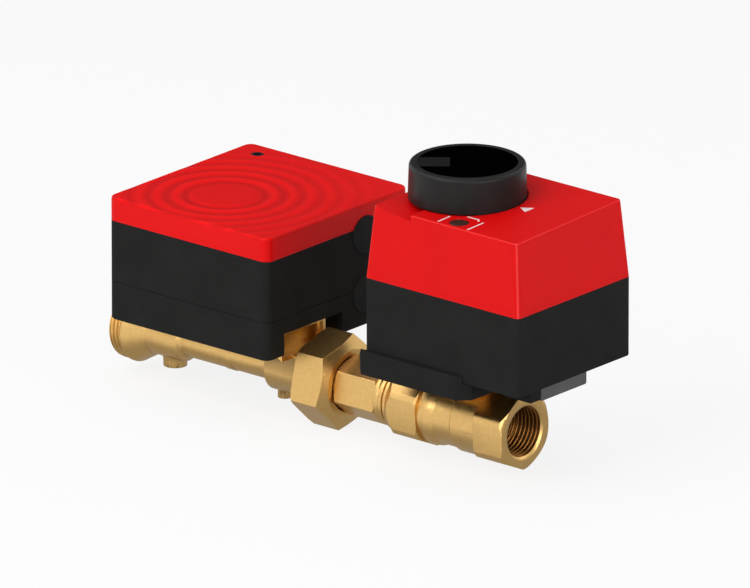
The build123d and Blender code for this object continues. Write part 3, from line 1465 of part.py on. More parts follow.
# Actuator cap: red tapered cover, its top rising towards the back
over_height = cap_back_height + 3 * overcut
top_tilt = Plane(
    origin=(actuator_middle, actuator_centre_y, (cap_front_height + cap_back_height) / 2),
    x_dir=(1, 0, 0),
    z_dir=(0, cap_front_height - cap_back_height, actuator_width - 2 * cap_draft_y),
)
cap_top_front = -actuator_front + cap_draft_y
ramp_start_x = stem_x - actuator_inlet_side + cap_draft_x
with BuildPart() as actuator_cap:
    add(cap_outline(cap_bottom, 0))
    add(cap_outline(over_height, 0))
    loft()
    split(bisect_by=top_tilt, keep=Keep.BOTTOM)
    top_face = actuator_cap.faces().sort_by(Axis.Z)[-1]
    fillet(top_face.edges(), cap_round)
    add(cap_outline(cap_bottom, cap_wall))
    add(cap_outline(cap_ceiling, cap_wall))
    loft(mode=Mode.SUBTRACT)
    with BuildSketch(Plane.XY.offset(cap_bottom)):
        with Locations(*corner_posts):
            Circle(post_radius - push_gap)
    extrude(amount=cap_post_length)
    with BuildSketch(Plane.XY.offset(button_collar_bottom)):
        with Locations(button_at):
            Circle(button_collar_radius)
    extrude(amount=cap_ceiling - button_collar_bottom)
    with BuildSketch(Plane.XY.offset(knob_pocket_floor)):
        with Locations((stem_x, 0)):
            Circle(knob_radius + knob_pocket_gap)
    extrude(amount=cap_back_height - knob_pocket_floor + overcut, mode=Mode.SUBTRACT)
    with BuildSketch(Plane.XZ.offset(-cap_top_front + overcut)):
        with BuildLine():
            Polyline(
                (ramp_start_x - overcut, cap_front_height + overcut * ramp_depth / ramp_length),
                (ramp_start_x + ramp_length, cap_front_height - ramp_depth),
                (ramp_start_x + ramp_length, cap_back_height + overcut),
                (ramp_start_x - overcut, cap_back_height + overcut),
                close=True,
            )
        make_face()
    extrude(amount=-ramp_reach - overcut, mode=Mode.SUBTRACT)
    with BuildSketch(Plane.XY.offset(cap_ceiling)):
        with Locations((stem_x, 0)):
            Circle(knob_boss_radius + knob_boss_gap)
    extrude(amount=cap_back_height - cap_ceiling, mode=Mode.SUBTRACT)
    with BuildSketch(Plane.XY.offset(button_collar_bottom)):
        with Locations(button_at):
            Circle(button_radius + shaft_gap)
    extrude(amount=cap_back_height - button_collar_bottom, mode=Mode.SUBTRACT)
    with BuildSketch(Plane.XY.offset(button_collar_bottom)):
        with Locations(button_at):
            Circle(button_flange_radius + shaft_gap)
    extrude(amount=button_step - button_collar_bottom, mode=Mode.SUBTRACT)
    with BuildSketch(Plane.XY.offset(cap_bottom)):
        with Locations(*corner_posts):
            Circle(screw_core)
    extrude(amount=cap_hole_depth, mode=Mode.SUBTRACT)

# Cap screws: four long screws up through the base's posts
with BuildPart() as cap_screws:
    for x, y in corner_posts:
        with BuildSketch(Plane.XY.offset(actuator_bottom + stop_gap)):
            with Locations((x, y)):
                Circle(screw_head_radius)
        extrude(amount=screw_head_height)
        with BuildSketch(Plane.XY.offset(actuator_bottom + stop_gap)):
            with Locations((x, y)):
                Circle(screw_core - thread_gap)
        extrude(amount=cap_bottom + cap_screw_grip - actuator_bottom)

# Release button, flush with the cap, and the spring that returns it
with BuildPart() as release_button:
    with BuildSketch(Plane.XY.offset(button_step - stop_gap)):
        with Locations(button_at):
            Circle(button_radius)
    extrude(amount=button_height - button_step + stop_gap)
    fillet(release_button.edges().group_by(Axis.Z)[-1], button_round)
    with BuildSketch(Plane.XY.offset(button_step - stop_gap)):
        with Locations(button_at):
            Circle(button_flange_radius)
    extrude(amount=-button_flange_length)
    with BuildSketch(Plane.XY.offset(button_rod_end)):
        with Locations(button_at):
            Circle(button_rod_radius)
    extrude(amount=button_step - stop_gap - button_rod_end)

spring_bottom = button_column_top + stop_gap
spring_top = button_step - button_flange_length - 2 * stop_gap
spring_rise = spring_top - spring_bottom - spring_wire
with BuildPart() as button_spring:
    with BuildLine():
        spring_line = Helix(
            pitch=spring_rise / spring_turns,
            height=spring_rise,
            radius=spring_radius,
            center=(*button_at, spring_bottom + spring_wire / 2),
        )
    with BuildSketch(Plane(origin=spring_line @ 0, z_dir=spring_line % 0)):
        Circle(spring_wire / 2)
    sweep(is_frenet=True)

# Hand knob: hollow, with a boss on the hub's hexagon and a recess for its disc
knob_disc_bottom = knob_top - knob_disc_sink - knob_disc_thickness
with BuildPart() as knob:
    with BuildSketch(Plane.XY.offset(knob_bottom)):
        with Locations((stem_x, 0)):
            Circle(knob_radius)
    with BuildSketch(Plane.XY.offset(knob_top)):
        with Locations((stem_x, 0)):
            Circle(knob_radius - knob_draft)
    loft()
    fillet(knob.edges().group_by(Axis.Z)[-1], knob_round)
    with BuildSketch(Plane.XY.offset(knob_bottom)):
        with Locations((stem_x, 0)):
            Circle(knob_radius - knob_wall)
    extrude(amount=knob_disc_bottom - knob_ceiling - knob_bottom, mode=Mode.SUBTRACT)
    with BuildSketch(Plane.XY.offset(hub_shoulder)):
        with Locations((stem_x, 0)):
            Circle(knob_boss_radius)
    extrude(amount=knob_disc_bottom - knob_ceiling / 2 - hub_shoulder)
    with BuildSketch(drive_plane.offset(hub_shoulder)):
        RegularPolygon((hub_top_flats + 2 * thread_gap) / sqrt(3), 6)
    extrude(amount=hub_top_length + stop_gap, mode=Mode.SUBTRACT)
    with BuildSketch(Plane.XY.offset(knob_disc_bottom)):
        with Locations((stem_x, 0)):
            Circle(knob_disc_radius + thread_gap)
    extrude(amount=knob_top - knob_disc_bottom, mode=Mode.SUBTRACT)

# Glossy disc in the knob, and the raised pointer on it
knob_disc_top = knob_disc_bottom + knob_disc_thickness
with BuildPart() as knob_disc:
    with BuildSketch(Plane.XY.offset(knob_disc_bottom)):
        with Locations((stem_x, 0)):
            Circle(knob_disc_radius)
    extrude(amount=knob_disc_thickness)

with BuildPart() as knob_pointer:
    with BuildSketch(drive_plane.offset(knob_disc_top)):
        with Locations((-knob_disc_radius / 2 - pointer_start / 2, 0)):
            Rectangle(knob_disc_radius - pointer_start, pointer_width)
        Circle(knob_disc_radius - thread_gap, mode=Mode.INTERSECT)
    extrude(amount=pointer_thickness)

pieces = {
    "sensor_tube": sensor_tube,
    "transducers": transducers,
    "temperature_probe": temperature_probe,
    "housing_base": housing_base,
    "base_screws": base_screws,
    "base_seal": base_seal,
    "housing_body": housing_body,
    "lid_seal": lid_seal,
    "housing_lid": housing_lid,
    "lid_screw": lid_screw,
    "cable_plug_upper": cable_plug_upper,
    "cable_plug_lower": cable_plug_lower,
    "sensor_board": sensor_board,
    "board_screws": board_screws,
    "terminal_blocks": terminal_blocks,
    "union_nut": union_nut,
    "union_gasket": union_gasket,
    "union_sleeve": union_sleeve,
    "hex_nipple": hex_nipple,
    "end_piece": end_piece,
    "flow_disc": flow_disc,
    "seat_inlet": seat_inlet,
    "seat_outlet": seat_outlet,
    "valve_body": valve_body,
    "ball": ball,
    "stem": stem,
    "stem_seals": stem_seals,
    "adapter_plate": adapter_plate,
    "adapter_screws": adapter_screws,
    "actuator_base": actuator_base,
    "cable_block": cable_block,
    "output_hub": output_hub,
    "output_gear": output_gear,
    "second_gear": second_gear,
    "first_gear": first_gear,
    "motor_pinion": motor_pinion,
    "gear_axles": gear_axles,
    "gear_plate": gear_plate,
    "motor": motor,
    "motor_screws": motor_screws,
    "board_standoffs": board_standoffs,
    "actuator_board": actuator_board,
    "actuator_board_screws": actuator_board_screws,
    "actuator_cap": actuator_cap,
    "cap_screws": cap_screws,
    "release_button": release_button,
    "button_spring": button_spring,
    "knob": knob,
    "knob_disc": knob_disc,
    "knob_pointer": knob_pointer,
}
os.makedirs("parts", exist_ok=True)
for name, piece in pieces.items():
    piece.part.label = name
    export_step(piece.part, f"parts/{name}.step")
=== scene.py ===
"""Motorised valve on a pale floor: a brass ball valve with its actuator, a union and a flow sensor."""

import math

import bmesh
import bpy
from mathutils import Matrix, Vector


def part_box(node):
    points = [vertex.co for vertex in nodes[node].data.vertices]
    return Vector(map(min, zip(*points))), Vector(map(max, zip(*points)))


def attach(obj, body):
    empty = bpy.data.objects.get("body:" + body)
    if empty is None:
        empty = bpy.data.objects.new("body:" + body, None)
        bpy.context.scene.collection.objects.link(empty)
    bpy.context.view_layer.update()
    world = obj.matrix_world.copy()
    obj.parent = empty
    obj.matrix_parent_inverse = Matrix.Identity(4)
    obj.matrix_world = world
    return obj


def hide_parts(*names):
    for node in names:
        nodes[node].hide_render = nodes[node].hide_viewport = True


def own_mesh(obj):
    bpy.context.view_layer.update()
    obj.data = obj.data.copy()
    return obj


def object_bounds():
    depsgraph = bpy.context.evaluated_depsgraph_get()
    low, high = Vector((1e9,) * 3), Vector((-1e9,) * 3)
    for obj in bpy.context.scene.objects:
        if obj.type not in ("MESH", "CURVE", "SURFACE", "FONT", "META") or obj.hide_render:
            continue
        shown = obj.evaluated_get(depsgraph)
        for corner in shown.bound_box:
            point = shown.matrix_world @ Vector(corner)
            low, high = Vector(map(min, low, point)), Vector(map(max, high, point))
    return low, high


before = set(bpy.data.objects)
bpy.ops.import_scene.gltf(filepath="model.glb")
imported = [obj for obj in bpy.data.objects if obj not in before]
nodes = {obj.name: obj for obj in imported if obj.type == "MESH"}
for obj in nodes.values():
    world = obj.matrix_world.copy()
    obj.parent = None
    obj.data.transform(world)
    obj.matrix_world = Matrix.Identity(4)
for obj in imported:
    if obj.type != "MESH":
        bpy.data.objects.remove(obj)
cad_low, cad_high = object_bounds()

# The camera stands in front and to the right, a little above, and far off, so that the
# upright edges stay upright. It looks at the middle of the picture, which lies left of
# the stem and above the pipe.
camera_azimuth = math.radians(40.3)
camera_elevation = math.radians(19.1)
camera_distance = 9.0
pixels_per_metre = 2704.0
frame_width = 750
frame_height = 588
stem_pixel = (467.2, 416.0)
stem_foot = Vector((sum(corner.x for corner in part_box("stem")) / 2, 0.0, 0.0))

sight = Vector((
    -math.sin(camera_azimuth) * math.cos(camera_elevation),
    math.cos(camera_azimuth) * math.cos(camera_elevation),
    -math.sin(camera_elevation),
))
right = Vector((math.cos(camera_azimuth), math.sin(camera_azimuth), 0.0))
upward = right.cross(sight)
target = (
    stem_foot
    + right * (frame_width / 2 - stem_pixel[0]) / pixels_per_metre
    + upward * (stem_pixel[1] - frame_height / 2) / pixels_per_metre
)
camera_data = bpy.data.cameras.new("camera")
camera_data.sensor_width = 36.0
camera_data.lens = camera_data.sensor_width * pixels_per_metre * camera_distance / frame_width
camera_data.clip_end = 100.0
camera = bpy.data.objects.new("camera", camera_data)
camera.location = target - sight * camera_distance
camera.rotation_mode = "QUATERNION"
camera.rotation_quaternion = sight.to_track_quat("-Z", "Y")
bpy.context.scene.collection.objects.link(camera)
bpy.context.scene.camera = camera


# The flow-sensor tube is a brass casting, shot-blasted to an even fine grain. Its inlet
# carries a right-handed pipe thread cut with a die, which runs out at the collar.
def new_finish(name, colour, metallic, roughness, specular):
    """Material with a principled shader and the piece's own coordinates."""
    finish = bpy.data.materials.new(name)
    finish.use_nodes = True
    shader = finish.node_tree.nodes["Principled BSDF"]
    shader.inputs["Base Color"].default_value = (*colour, 1.0)
    shader.inputs["Metallic"].default_value = metallic
    shader.inputs["Roughness"].default_value = roughness
    shader.inputs["Specular IOR Level"].default_value = specular
    place = finish.node_tree.nodes.new("ShaderNodeTexCoord")
    return finish, shader, place.outputs["Object"]


def add_noise(finish, place, size, detail=2.0, stretch=None):
    """Noise whose lumps are about the given size in metres, drawn out along an axis if asked."""
    noise = finish.node_tree.nodes.new("ShaderNodeTexNoise")
    noise.inputs["Scale"].default_value = 1.0 / size
    noise.inputs["Detail"].default_value = detail
    if stretch:
        pull = finish.node_tree.nodes.new("ShaderNodeMapping")
        pull.inputs["Scale"].default_value = stretch
        finish.node_tree.links.new(place, pull.inputs["Vector"])
        place = pull.outputs["Vector"]
    finish.node_tree.links.new(place, noise.inputs["Vector"])
    return noise.outputs["Fac"]


def vary_colour(finish, shader, factor, dark, light):
    """Run the base colour between two near colours."""
    ramp = finish.node_tree.nodes.new("ShaderNodeValToRGB")
    ramp.color_ramp.elements[0].position = 0.3
    ramp.color_ramp.elements[0].color = (*dark, 1.0)
    ramp.color_ramp.elements[1].position = 0.7
    ramp.color_ramp.elements[1].color = (*light, 1.0)
    finish.node_tree.links.new(factor, ramp.inputs["Fac"])
    finish.node_tree.links.new(ramp.outputs["Color"], shader.inputs["Base Color"])


def vary_roughness(finish, shader, factor, low, high):
    """Run the roughness between two values."""
    spread = finish.node_tree.nodes.new("ShaderNodeMapRange")
    spread.inputs["From Min"].default_value = 0.3
    spread.inputs["From Max"].default_value = 0.7
    spread.inputs["To Min"].default_value = low
    spread.inputs["To Max"].default_value = high
    finish.node_tree.links.new(factor, spread.inputs["Value"])
    finish.node_tree.links.new(spread.outputs["Result"], shader.inputs["Roughness"])


def add_relief(finish, shader, factor, depth, strength, edge_radius=0.0):
    """Relief of a depth in metres from a factor, with edges lit as if rounded to a radius."""
    bump = finish.node_tree.nodes.new("ShaderNodeBump")
    bump.inputs["Distance"].default_value = depth
    bump.inputs["Strength"].default_value = strength
    finish.node_tree.links.new(factor, bump.inputs["Height"])
    if edge_radius:
        bevel = finish.node_tree.nodes.new("ShaderNodeBevel")
        bevel.samples = 6
        bevel.inputs["Radius"].default_value = edge_radius
        finish.node_tree.links.new(bevel.outputs["Normal"], bump.inputs["Normal"])
    finish.node_tree.links.new(bump.outputs["Normal"], shader.inputs["Normal"])


def dress(node, finish):
    """Give a CAD node a finish."""
    nodes[node].data.materials.clear()
    nodes[node].data.materials.append(finish)


def new_tree(name, inputs):
    """Geometry node tree with named inputs, and its way in and out."""
    tree = bpy.data.node_groups.new(name, "GeometryNodeTree")
    for label, kind in inputs.items():
        tree.interface.new_socket(label, in_out="INPUT", socket_type=kind)
    tree.interface.new_socket("Geometry", in_out="OUTPUT", socket_type="NodeSocketGeometry")
    return tree, tree.nodes.new("NodeGroupInput").outputs, tree.nodes.new("NodeGroupOutput").inputs


def calc(tree, operation, *values):
    """One math node on numbers or sockets."""
    step = tree.nodes.new("ShaderNodeMath")
    step.operation = operation
    for socket, value in zip(step.inputs, values):
        if isinstance(value, (int, float)):
            socket.default_value = value
        else:
            tree.links.new(value, socket)
    return step.outputs[0]


def hold(tree, value, least, most):
    """Keep a value between two others."""
    return calc(tree, "MINIMUM", calc(tree, "MAXIMUM", value, least), most)


def point_parts(tree):
    """X, Y and Z of the points that a geometry tree works on."""
    point = tree.nodes.new("GeometryNodeInputPosition")
    parts = tree.nodes.new("ShaderNodeSeparateXYZ")
    tree.links.new(point.outputs["Position"], parts.inputs["Vector"])
    return parts.outputs


def end_tree(tree, geometry, finish, way_out):
    """Close a tree: instances made real, then the finish."""
    real = tree.nodes.new("GeometryNodeRealizeInstances")
    coat = tree.nodes.new("GeometryNodeSetMaterial")
    tree.links.new(geometry, real.inputs["Geometry"])
    tree.links.new(real.outputs["Geometry"], coat.inputs["Geometry"])
    tree.links.new(finish, coat.inputs["Material"])
    tree.links.new(coat.outputs["Geometry"], way_out["Geometry"])


def grow(name, tree, **sizes):
    """Plain mesh piece from a node tree and its sizes."""
    seed = bpy.data.objects.new(name, bpy.data.meshes.new(name))
    bpy.context.scene.collection.objects.link(seed)
    modifier = seed.modifiers.new("grow", "NODES")
    modifier.node_group = tree
    for item in tree.interface.items_tree:
        label = item.name.lower().replace(" ", "_")
        if item.in_out == "INPUT" and label in sizes:
            modifier[item.identifier] = sizes[label]
    grown = bpy.data.meshes.new_from_object(seed.evaluated_get(bpy.context.evaluated_depsgraph_get()))
    seed.modifiers.remove(modifier)
    seed.data = grown
    return seed


weld_distance = 1e-6


def closed_copy(node, name):
    """Copy of a CAD node with its loose triangles merged into one skin."""
    skin = nodes[node].data.copy()
    work = bmesh.new()
    work.from_mesh(skin)
    bmesh.ops.remove_doubles(work, verts=work.verts, dist=weld_distance)
    work.to_mesh(skin)
    work.free()
    piece = bpy.data.objects.new(name, skin)
    bpy.context.scene.collection.objects.link(piece)
    return piece


def carve(piece, tool, operation):
    """Cut, join or keep the common part of two solids, and drop the tool."""
    step = piece.modifiers.new("carve", "BOOLEAN")
    step.operation = operation
    step.solver = "EXACT"
    step.object = tool
    carved = bpy.data.meshes.new_from_object(piece.evaluated_get(bpy.context.evaluated_depsgraph_get()))
    piece.modifiers.remove(step)
    piece.data = carved
    bpy.data.objects.remove(tool)


def stand_for(piece, node, finish, crease):
    """Finish a reworked copy and let it stand for its CAD node."""
    piece.data.materials.clear()
    piece.data.materials.append(finish)
    for face in piece.data.polygons:
        face.material_index = 0
        face.use_smooth = True
    piece.data.set_sharp_from_angle(angle=math.radians(crease))
    level = piece.modifiers.new("level", "WEIGHTED_NORMAL")
    level.keep_sharp = True
    levelled = bpy.data.meshes.new_from_object(piece.evaluated_get(bpy.context.evaluated_depsgraph_get()))
    piece.modifiers.remove(level)
    piece.data = levelled
    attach(piece, "root")
    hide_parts(node)


def new_brass(name):
    """Shot-blasted brass with an even fine grain."""
    brass, shader, place = new_finish(name, (0.66, 0.42, 0.16), metallic=1.0, roughness=0.45, specular=0.5)
    vary_colour(brass, shader, add_noise(brass, place, 0.0012, 4.0), (0.66, 0.41, 0.14), (0.72, 0.46, 0.17))
    vary_roughness(brass, shader, add_noise(brass, place, 0.0008), 0.28, 0.4)
    add_relief(
        brass, shader, add_noise(brass, place, 0.0005, 3.0),
        depth=0.0001, strength=0.35, edge_radius=0.0003,
    )
    return brass, shader, place


blasted_brass, shader, place = new_brass("blasted_brass")

# Threaded rod: a grid rolled round the X axis, its radius set by the thread's phase and
# held between a lead-in cone and a run-out cone, with both ends closed at the axis.
thread_tree, size, way_out = new_tree("threaded_rod", {
    "Start": "NodeSocketFloat",
    "Length": "NodeSocketFloat",
    "Pitch": "NodeSocketFloat",
    "Radius": "NodeSocketFloat",
    "Depth": "NodeSocketFloat",
    "Least Radius": "NodeSocketFloat",
    "Least Slope": "NodeSocketFloat",
    "Most Radius": "NodeSocketFloat",
    "Most Slope": "NodeSocketFloat",
    "Rounds": "NodeSocketInt",
    "Rows": "NodeSocketInt",
    "Finish": "NodeSocketMaterial",
})
sheet = thread_tree.nodes.new("GeometryNodeMeshGrid")
sheet.inputs["Size X"].default_value = 1.0
sheet.inputs["Size Y"].default_value = 1.0
thread_tree.links.new(size["Rounds"], sheet.inputs["Vertices X"])
thread_tree.links.new(size["Rows"], sheet.inputs["Vertices Y"])
where = point_parts(thread_tree)
turn = calc(thread_tree, "ADD", where["X"], 0.5)
last_row = calc(thread_tree, "SUBTRACT", size["Rows"], 1.0)
row = calc(thread_tree, "MULTIPLY", calc(thread_tree, "ADD", where["Y"], 0.5), last_row)
inner_rows = calc(thread_tree, "SUBTRACT", size["Rows"], 3.0)
share = calc(thread_tree, "DIVIDE", calc(thread_tree, "SUBTRACT", row, 1.0), inner_rows)
along = calc(thread_tree, "MULTIPLY", hold(thread_tree, share, 0.0, 1.0), size["Length"])
turns_along = calc(thread_tree, "DIVIDE", along, size["Pitch"])
phase = calc(thread_tree, "FRACT", calc(thread_tree, "SUBTRACT", turns_along, turn))
sweep = calc(thread_tree, "SUBTRACT", calc(thread_tree, "MULTIPLY", phase, 2.0), 1.0)
crest_share = 0.2
flank_gain = 1.6
flank = calc(thread_tree, "SUBTRACT", calc(thread_tree, "ABSOLUTE", sweep), crest_share)
groove = hold(thread_tree, calc(thread_tree, "MULTIPLY", flank, flank_gain), 0.0, 1.0)
radius = calc(thread_tree, "ADD", size["Radius"], calc(thread_tree, "MULTIPLY", groove, size["Depth"]))
least_rise = calc(thread_tree, "MULTIPLY", along, size["Least Slope"])
least = calc(thread_tree, "ADD", size["Least Radius"], least_rise)
most_rise = calc(thread_tree, "MULTIPLY", along, size["Most Slope"])
most = calc(thread_tree, "ADD", size["Most Radius"], most_rise)
radius = hold(thread_tree, radius, least, most)
past_first = calc(thread_tree, "GREATER_THAN", row, 0.5)
before_last = calc(thread_tree, "LESS_THAN", row, calc(thread_tree, "SUBTRACT", size["Rows"], 1.5))
radius = calc(thread_tree, "MULTIPLY", radius, calc(thread_tree, "MULTIPLY", past_first, before_last))
angle = calc(thread_tree, "MULTIPLY", turn, 2 * math.pi)
rolled = thread_tree.nodes.new("ShaderNodeCombineXYZ")
for axis, part in (
    ("X", calc(thread_tree, "ADD", along, size["Start"])),
    ("Y", calc(thread_tree, "MULTIPLY", radius, calc(thread_tree, "COSINE", angle))),
    ("Z", calc(thread_tree, "MULTIPLY", radius, calc(thread_tree, "SINE", angle))),
):
    thread_tree.links.new(part, rolled.inputs[axis])
roll = thread_tree.nodes.new("GeometryNodeSetPosition")
thread_tree.links.new(sheet.outputs["Mesh"], roll.inputs["Geometry"])
thread_tree.links.new(rolled.outputs["Vector"], roll.inputs["Position"])
weld = thread_tree.nodes.new("GeometryNodeMergeByDistance")
weld.inputs["Distance"].default_value = weld_distance
thread_tree.links.new(roll.outputs["Geometry"], weld.inputs["Geometry"])
end_tree(thread_tree, weld.outputs["Geometry"], size["Finish"], way_out)


def plain_rod(name, start, end, radius):
    """Closed plain cylinder on the pipe axis."""
    return grow(
        name, thread_tree, start=start, length=end - start, pitch=1.0, radius=radius, depth=0.0,
        least_radius=0.0, least_slope=0.0, most_radius=1.0, most_slope=0.0, rounds=129, rows=6,
        finish=blasted_brass,
    )


pipe_pitch = 0.001814
thread_rounds = 97
inlet_x = cad_low.x
inlet_collar_x = inlet_x + 0.00624
inlet_crest = 0.01322
inlet_depth = 0.00102
inlet_root = inlet_crest - inlet_depth
inlet_chamfer = 0.0008
run_out_drop = 0.0048
run_out_slope = 0.77
stub_radius = inlet_root - 0.0002
sleeve_bore = inlet_root - 0.0007
blank_radius = 0.02
face_gap = 0.00001
collar_gap = 0.00002
collar_bite = 0.00005
tool_overrun = 0.001
die_cut = closed_copy("sensor_tube", "sensor_tube_threaded")
blank = plain_rod("blank", inlet_x - tool_overrun / 2, inlet_collar_x - collar_gap, blank_radius)
core = plain_rod("core", inlet_x - tool_overrun, inlet_collar_x + tool_overrun, stub_radius)
carve(blank, core, "DIFFERENCE")
carve(die_cut, blank, "DIFFERENCE")
thread = grow(
    "inlet_thread", thread_tree,
    start=inlet_x + face_gap, length=inlet_collar_x - inlet_x + collar_bite,
    pitch=pipe_pitch, radius=inlet_crest, depth=-inlet_depth,
    least_radius=inlet_root - run_out_drop, least_slope=run_out_slope,
    most_radius=inlet_crest - inlet_chamfer, most_slope=1.0,
    rounds=thread_rounds, rows=46, finish=blasted_brass,
)
core = plain_rod("core", inlet_x - tool_overrun, inlet_collar_x + tool_overrun, sleeve_bore)
carve(thread, core, "DIFFERENCE")
carve(die_cut, thread, "UNION")
stand_for(die_cut, "sensor_tube", blasted_brass, crease=24)

# Two ultrasonic pucks and a temperature pin are let into the saddle. The pucks are potted
# in grey resin, and the pin is drawn stainless steel.
potting, shader, place = new_finish(
    "potting", (0.16, 0.17, 0.18), metallic=0.0, roughness=0.5, specular=0.4,
)
vary_colour(potting, shader, add_noise(potting, place, 0.003, 4.0), (0.14, 0.15, 0.16), (0.19, 0.2, 0.21))
vary_roughness(potting, shader, add_noise(potting, place, 0.001), 0.42, 0.58)
add_relief(potting, shader, add_noise(potting, place, 0.0006), depth=0.00005, strength=0.3)
dress("transducers", potting)

drawn_steel, shader, place = new_finish(
    "drawn_steel", (0.56, 0.55, 0.53), metallic=1.0, roughness=0.3, specular=0.5,
)
vary_colour(drawn_steel, shader, add_noise(drawn_steel, place, 0.003), (0.5, 0.49, 0.47), (0.6, 0.59, 0.57))
vary_roughness(drawn_steel, shader, add_noise(drawn_steel, place, 0.0006, 2.0, (1.0, 1.0, 0.1)), 0.24, 0.36)
add_relief(
    drawn_steel, shader, add_noise(drawn_steel, place, 0.0002, 2.0, (1.0, 1.0, 0.05)),
    depth=0.00002, strength=0.3, edge_radius=0.0001,
)
for node in ("temperature_probe", "flow_disc", "output_hub", "gear_axles", "motor_pinion"):
    dress(node, drawn_steel)

# The sensor's housing is two black mouldings of glass-filled nylon, screwed to the
# saddle, with a fine spark-eroded texture.
moulded_black, shader, place = new_finish(
    "moulded_black", (0.018, 0.018, 0.0175), metallic=0.0, roughness=0.5, specular=0.03,
)
vary_colour(
    moulded_black, shader, add_noise(moulded_black, place, 0.012),
    (0.0165, 0.0165, 0.016), (0.0195, 0.0195, 0.019),
)
vary_roughness(moulded_black, shader, add_noise(moulded_black, place, 0.002), 0.46, 0.56)
add_relief(
    moulded_black, shader, add_noise(moulded_black, place, 0.0003),
    depth=0.00005, strength=0.3, edge_radius=0.0003,
)
dress("housing_base", moulded_black)
dress("housing_body", moulded_black)

# All hidden screws and standoffs are zinc-plated steel with a faint yellow bloom. They hold
# the housing, the boards, the adapter plate, the motor and the cap.
zinc_plate, shader, place = new_finish(
    "zinc_plate", (0.58, 0.56, 0.5), metallic=1.0, roughness=0.34, specular=0.5,
)
vary_colour(
    zinc_plate, shader, add_noise(zinc_plate, place, 0.002, 4.0),
    (0.54, 0.52, 0.46), (0.62, 0.6, 0.56),
)
vary_roughness(zinc_plate, shader, add_noise(zinc_plate, place, 0.0008), 0.28, 0.42)
add_relief(
    zinc_plate, shader, add_noise(zinc_plate, place, 0.0003),
    depth=0.00002, strength=0.3, edge_radius=0.0001,
)
for node in (
    "base_screws", "board_screws", "adapter_screws", "motor_screws", "board_standoffs",
    "actuator_board_screws", "cap_screws",
):
    dress(node, zinc_plate)

# Rubber rings seal the joints, and two rubber blanks close the housing's cable entries. All
# are moulded, with a dull skin.
plug_rubber, shader, place = new_finish(
    "plug_rubber", (0.015, 0.015, 0.015), metallic=0.0, roughness=0.6, specular=0.08,
)
vary_colour(
    plug_rubber, shader, add_noise(plug_rubber, place, 0.004),
    (0.0135, 0.0135, 0.0135), (0.017, 0.017, 0.017),
)
vary_roughness(plug_rubber, shader, add_noise(plug_rubber, place, 0.001), 0.55, 0.68)
add_relief(
    plug_rubber, shader, add_noise(plug_rubber, place, 0.0006),
    depth=0.00004, strength=0.3, edge_radius=0.0003,
)
for node in ("cable_plug_upper", "cable_plug_lower", "base_seal", "lid_seal", "union_gasket", "stem_seals"):
    dress(node, plug_rubber)

# The sensor and drive boards are glass laminate under green solder mask, with tracks that
# show through it as slightly lighter lines.
laminate, shader, place = new_finish(
    "laminate", (0.02, 0.11, 0.05), metallic=0.0, roughness=0.3, specular=0.5,
)
tracks = laminate.node_tree.nodes.new("ShaderNodeTexBrick")
tracks.inputs["Scale"].default_value = 160.0
tracks.inputs["Color1"].default_value = (0.018, 0.10, 0.045, 1.0)
tracks.inputs["Color2"].default_value = (0.02, 0.12, 0.055, 1.0)
tracks.inputs["Mortar"].default_value = (0.035, 0.17, 0.08, 1.0)
tracks.inputs["Mortar Size"].default_value = 0.06
laminate.node_tree.links.new(place, tracks.inputs["Vector"])
laminate.node_tree.links.new(tracks.outputs["Color"], shader.inputs["Base Color"])
vary_roughness(laminate, shader, add_noise(laminate, place, 0.004), 0.24, 0.36)
dress("sensor_board", laminate)
dress("actuator_board", laminate)

terminal_green, shader, place = new_finish(
    "terminal_green", (0.03, 0.22, 0.07), metallic=0.0, roughness=0.45, specular=0.4,
)
vary_colour(
    terminal_green, shader, add_noise(terminal_green, place, 0.005),
    (0.027, 0.2, 0.063), (0.033, 0.24, 0.077),
)
add_relief(
    terminal_green, shader, add_noise(terminal_green, place, 0.0004),
    depth=0.00004, strength=0.3, edge_radius=0.0003,
)
dress("terminal_blocks", terminal_green)


# The lid is moulded in red. Rings of shallow ripples run out over its top to the front
# edge, with one screw sunk at the back.
def new_red(name, red):
    """Red moulding with a fine texture, its colour given by the level of its red."""
    moulding, shader, place = new_finish(
        name, (red, 0.001, 0.002), metallic=0.0, roughness=0.42, specular=0.15,
    )
    dark = (red - 0.02, 0.001, 0.002)
    light = (red + 0.02, 0.0015, 0.0025)
    vary_colour(moulding, shader, add_noise(moulding, place, 0.02), dark, light)
    vary_roughness(moulding, shader, add_noise(moulding, place, 0.003), 0.40, 0.50)
    add_relief(
        moulding, shader, add_noise(moulding, place, 0.0004),
        depth=0.00004, strength=0.25, edge_radius=0.0003,
    )
    return moulding, shader, place


def mix_base(tree, shader, blend_type, factor, colour):
    """Blend a second colour into the base colour; factor and colour are values or sockets."""
    mixer = tree.nodes.new("ShaderNodeMix")
    mixer.data_type = "RGBA"
    mixer.blend_type = blend_type
    sockets = {socket.identifier: socket for socket in mixer.inputs}
    tree.links.new(shader.inputs["Base Color"].links[0].from_socket, sockets["A_Color"])
    for socket, value in ((sockets["Factor_Float"], factor), (sockets["B_Color"], colour)):
        if isinstance(value, bpy.types.NodeSocket):
            tree.links.new(value, socket)
        else:
            socket.default_value = value
    results = {socket.identifier: socket for socket in mixer.outputs}
    tree.links.new(results["Result_Color"], shader.inputs["Base Color"])


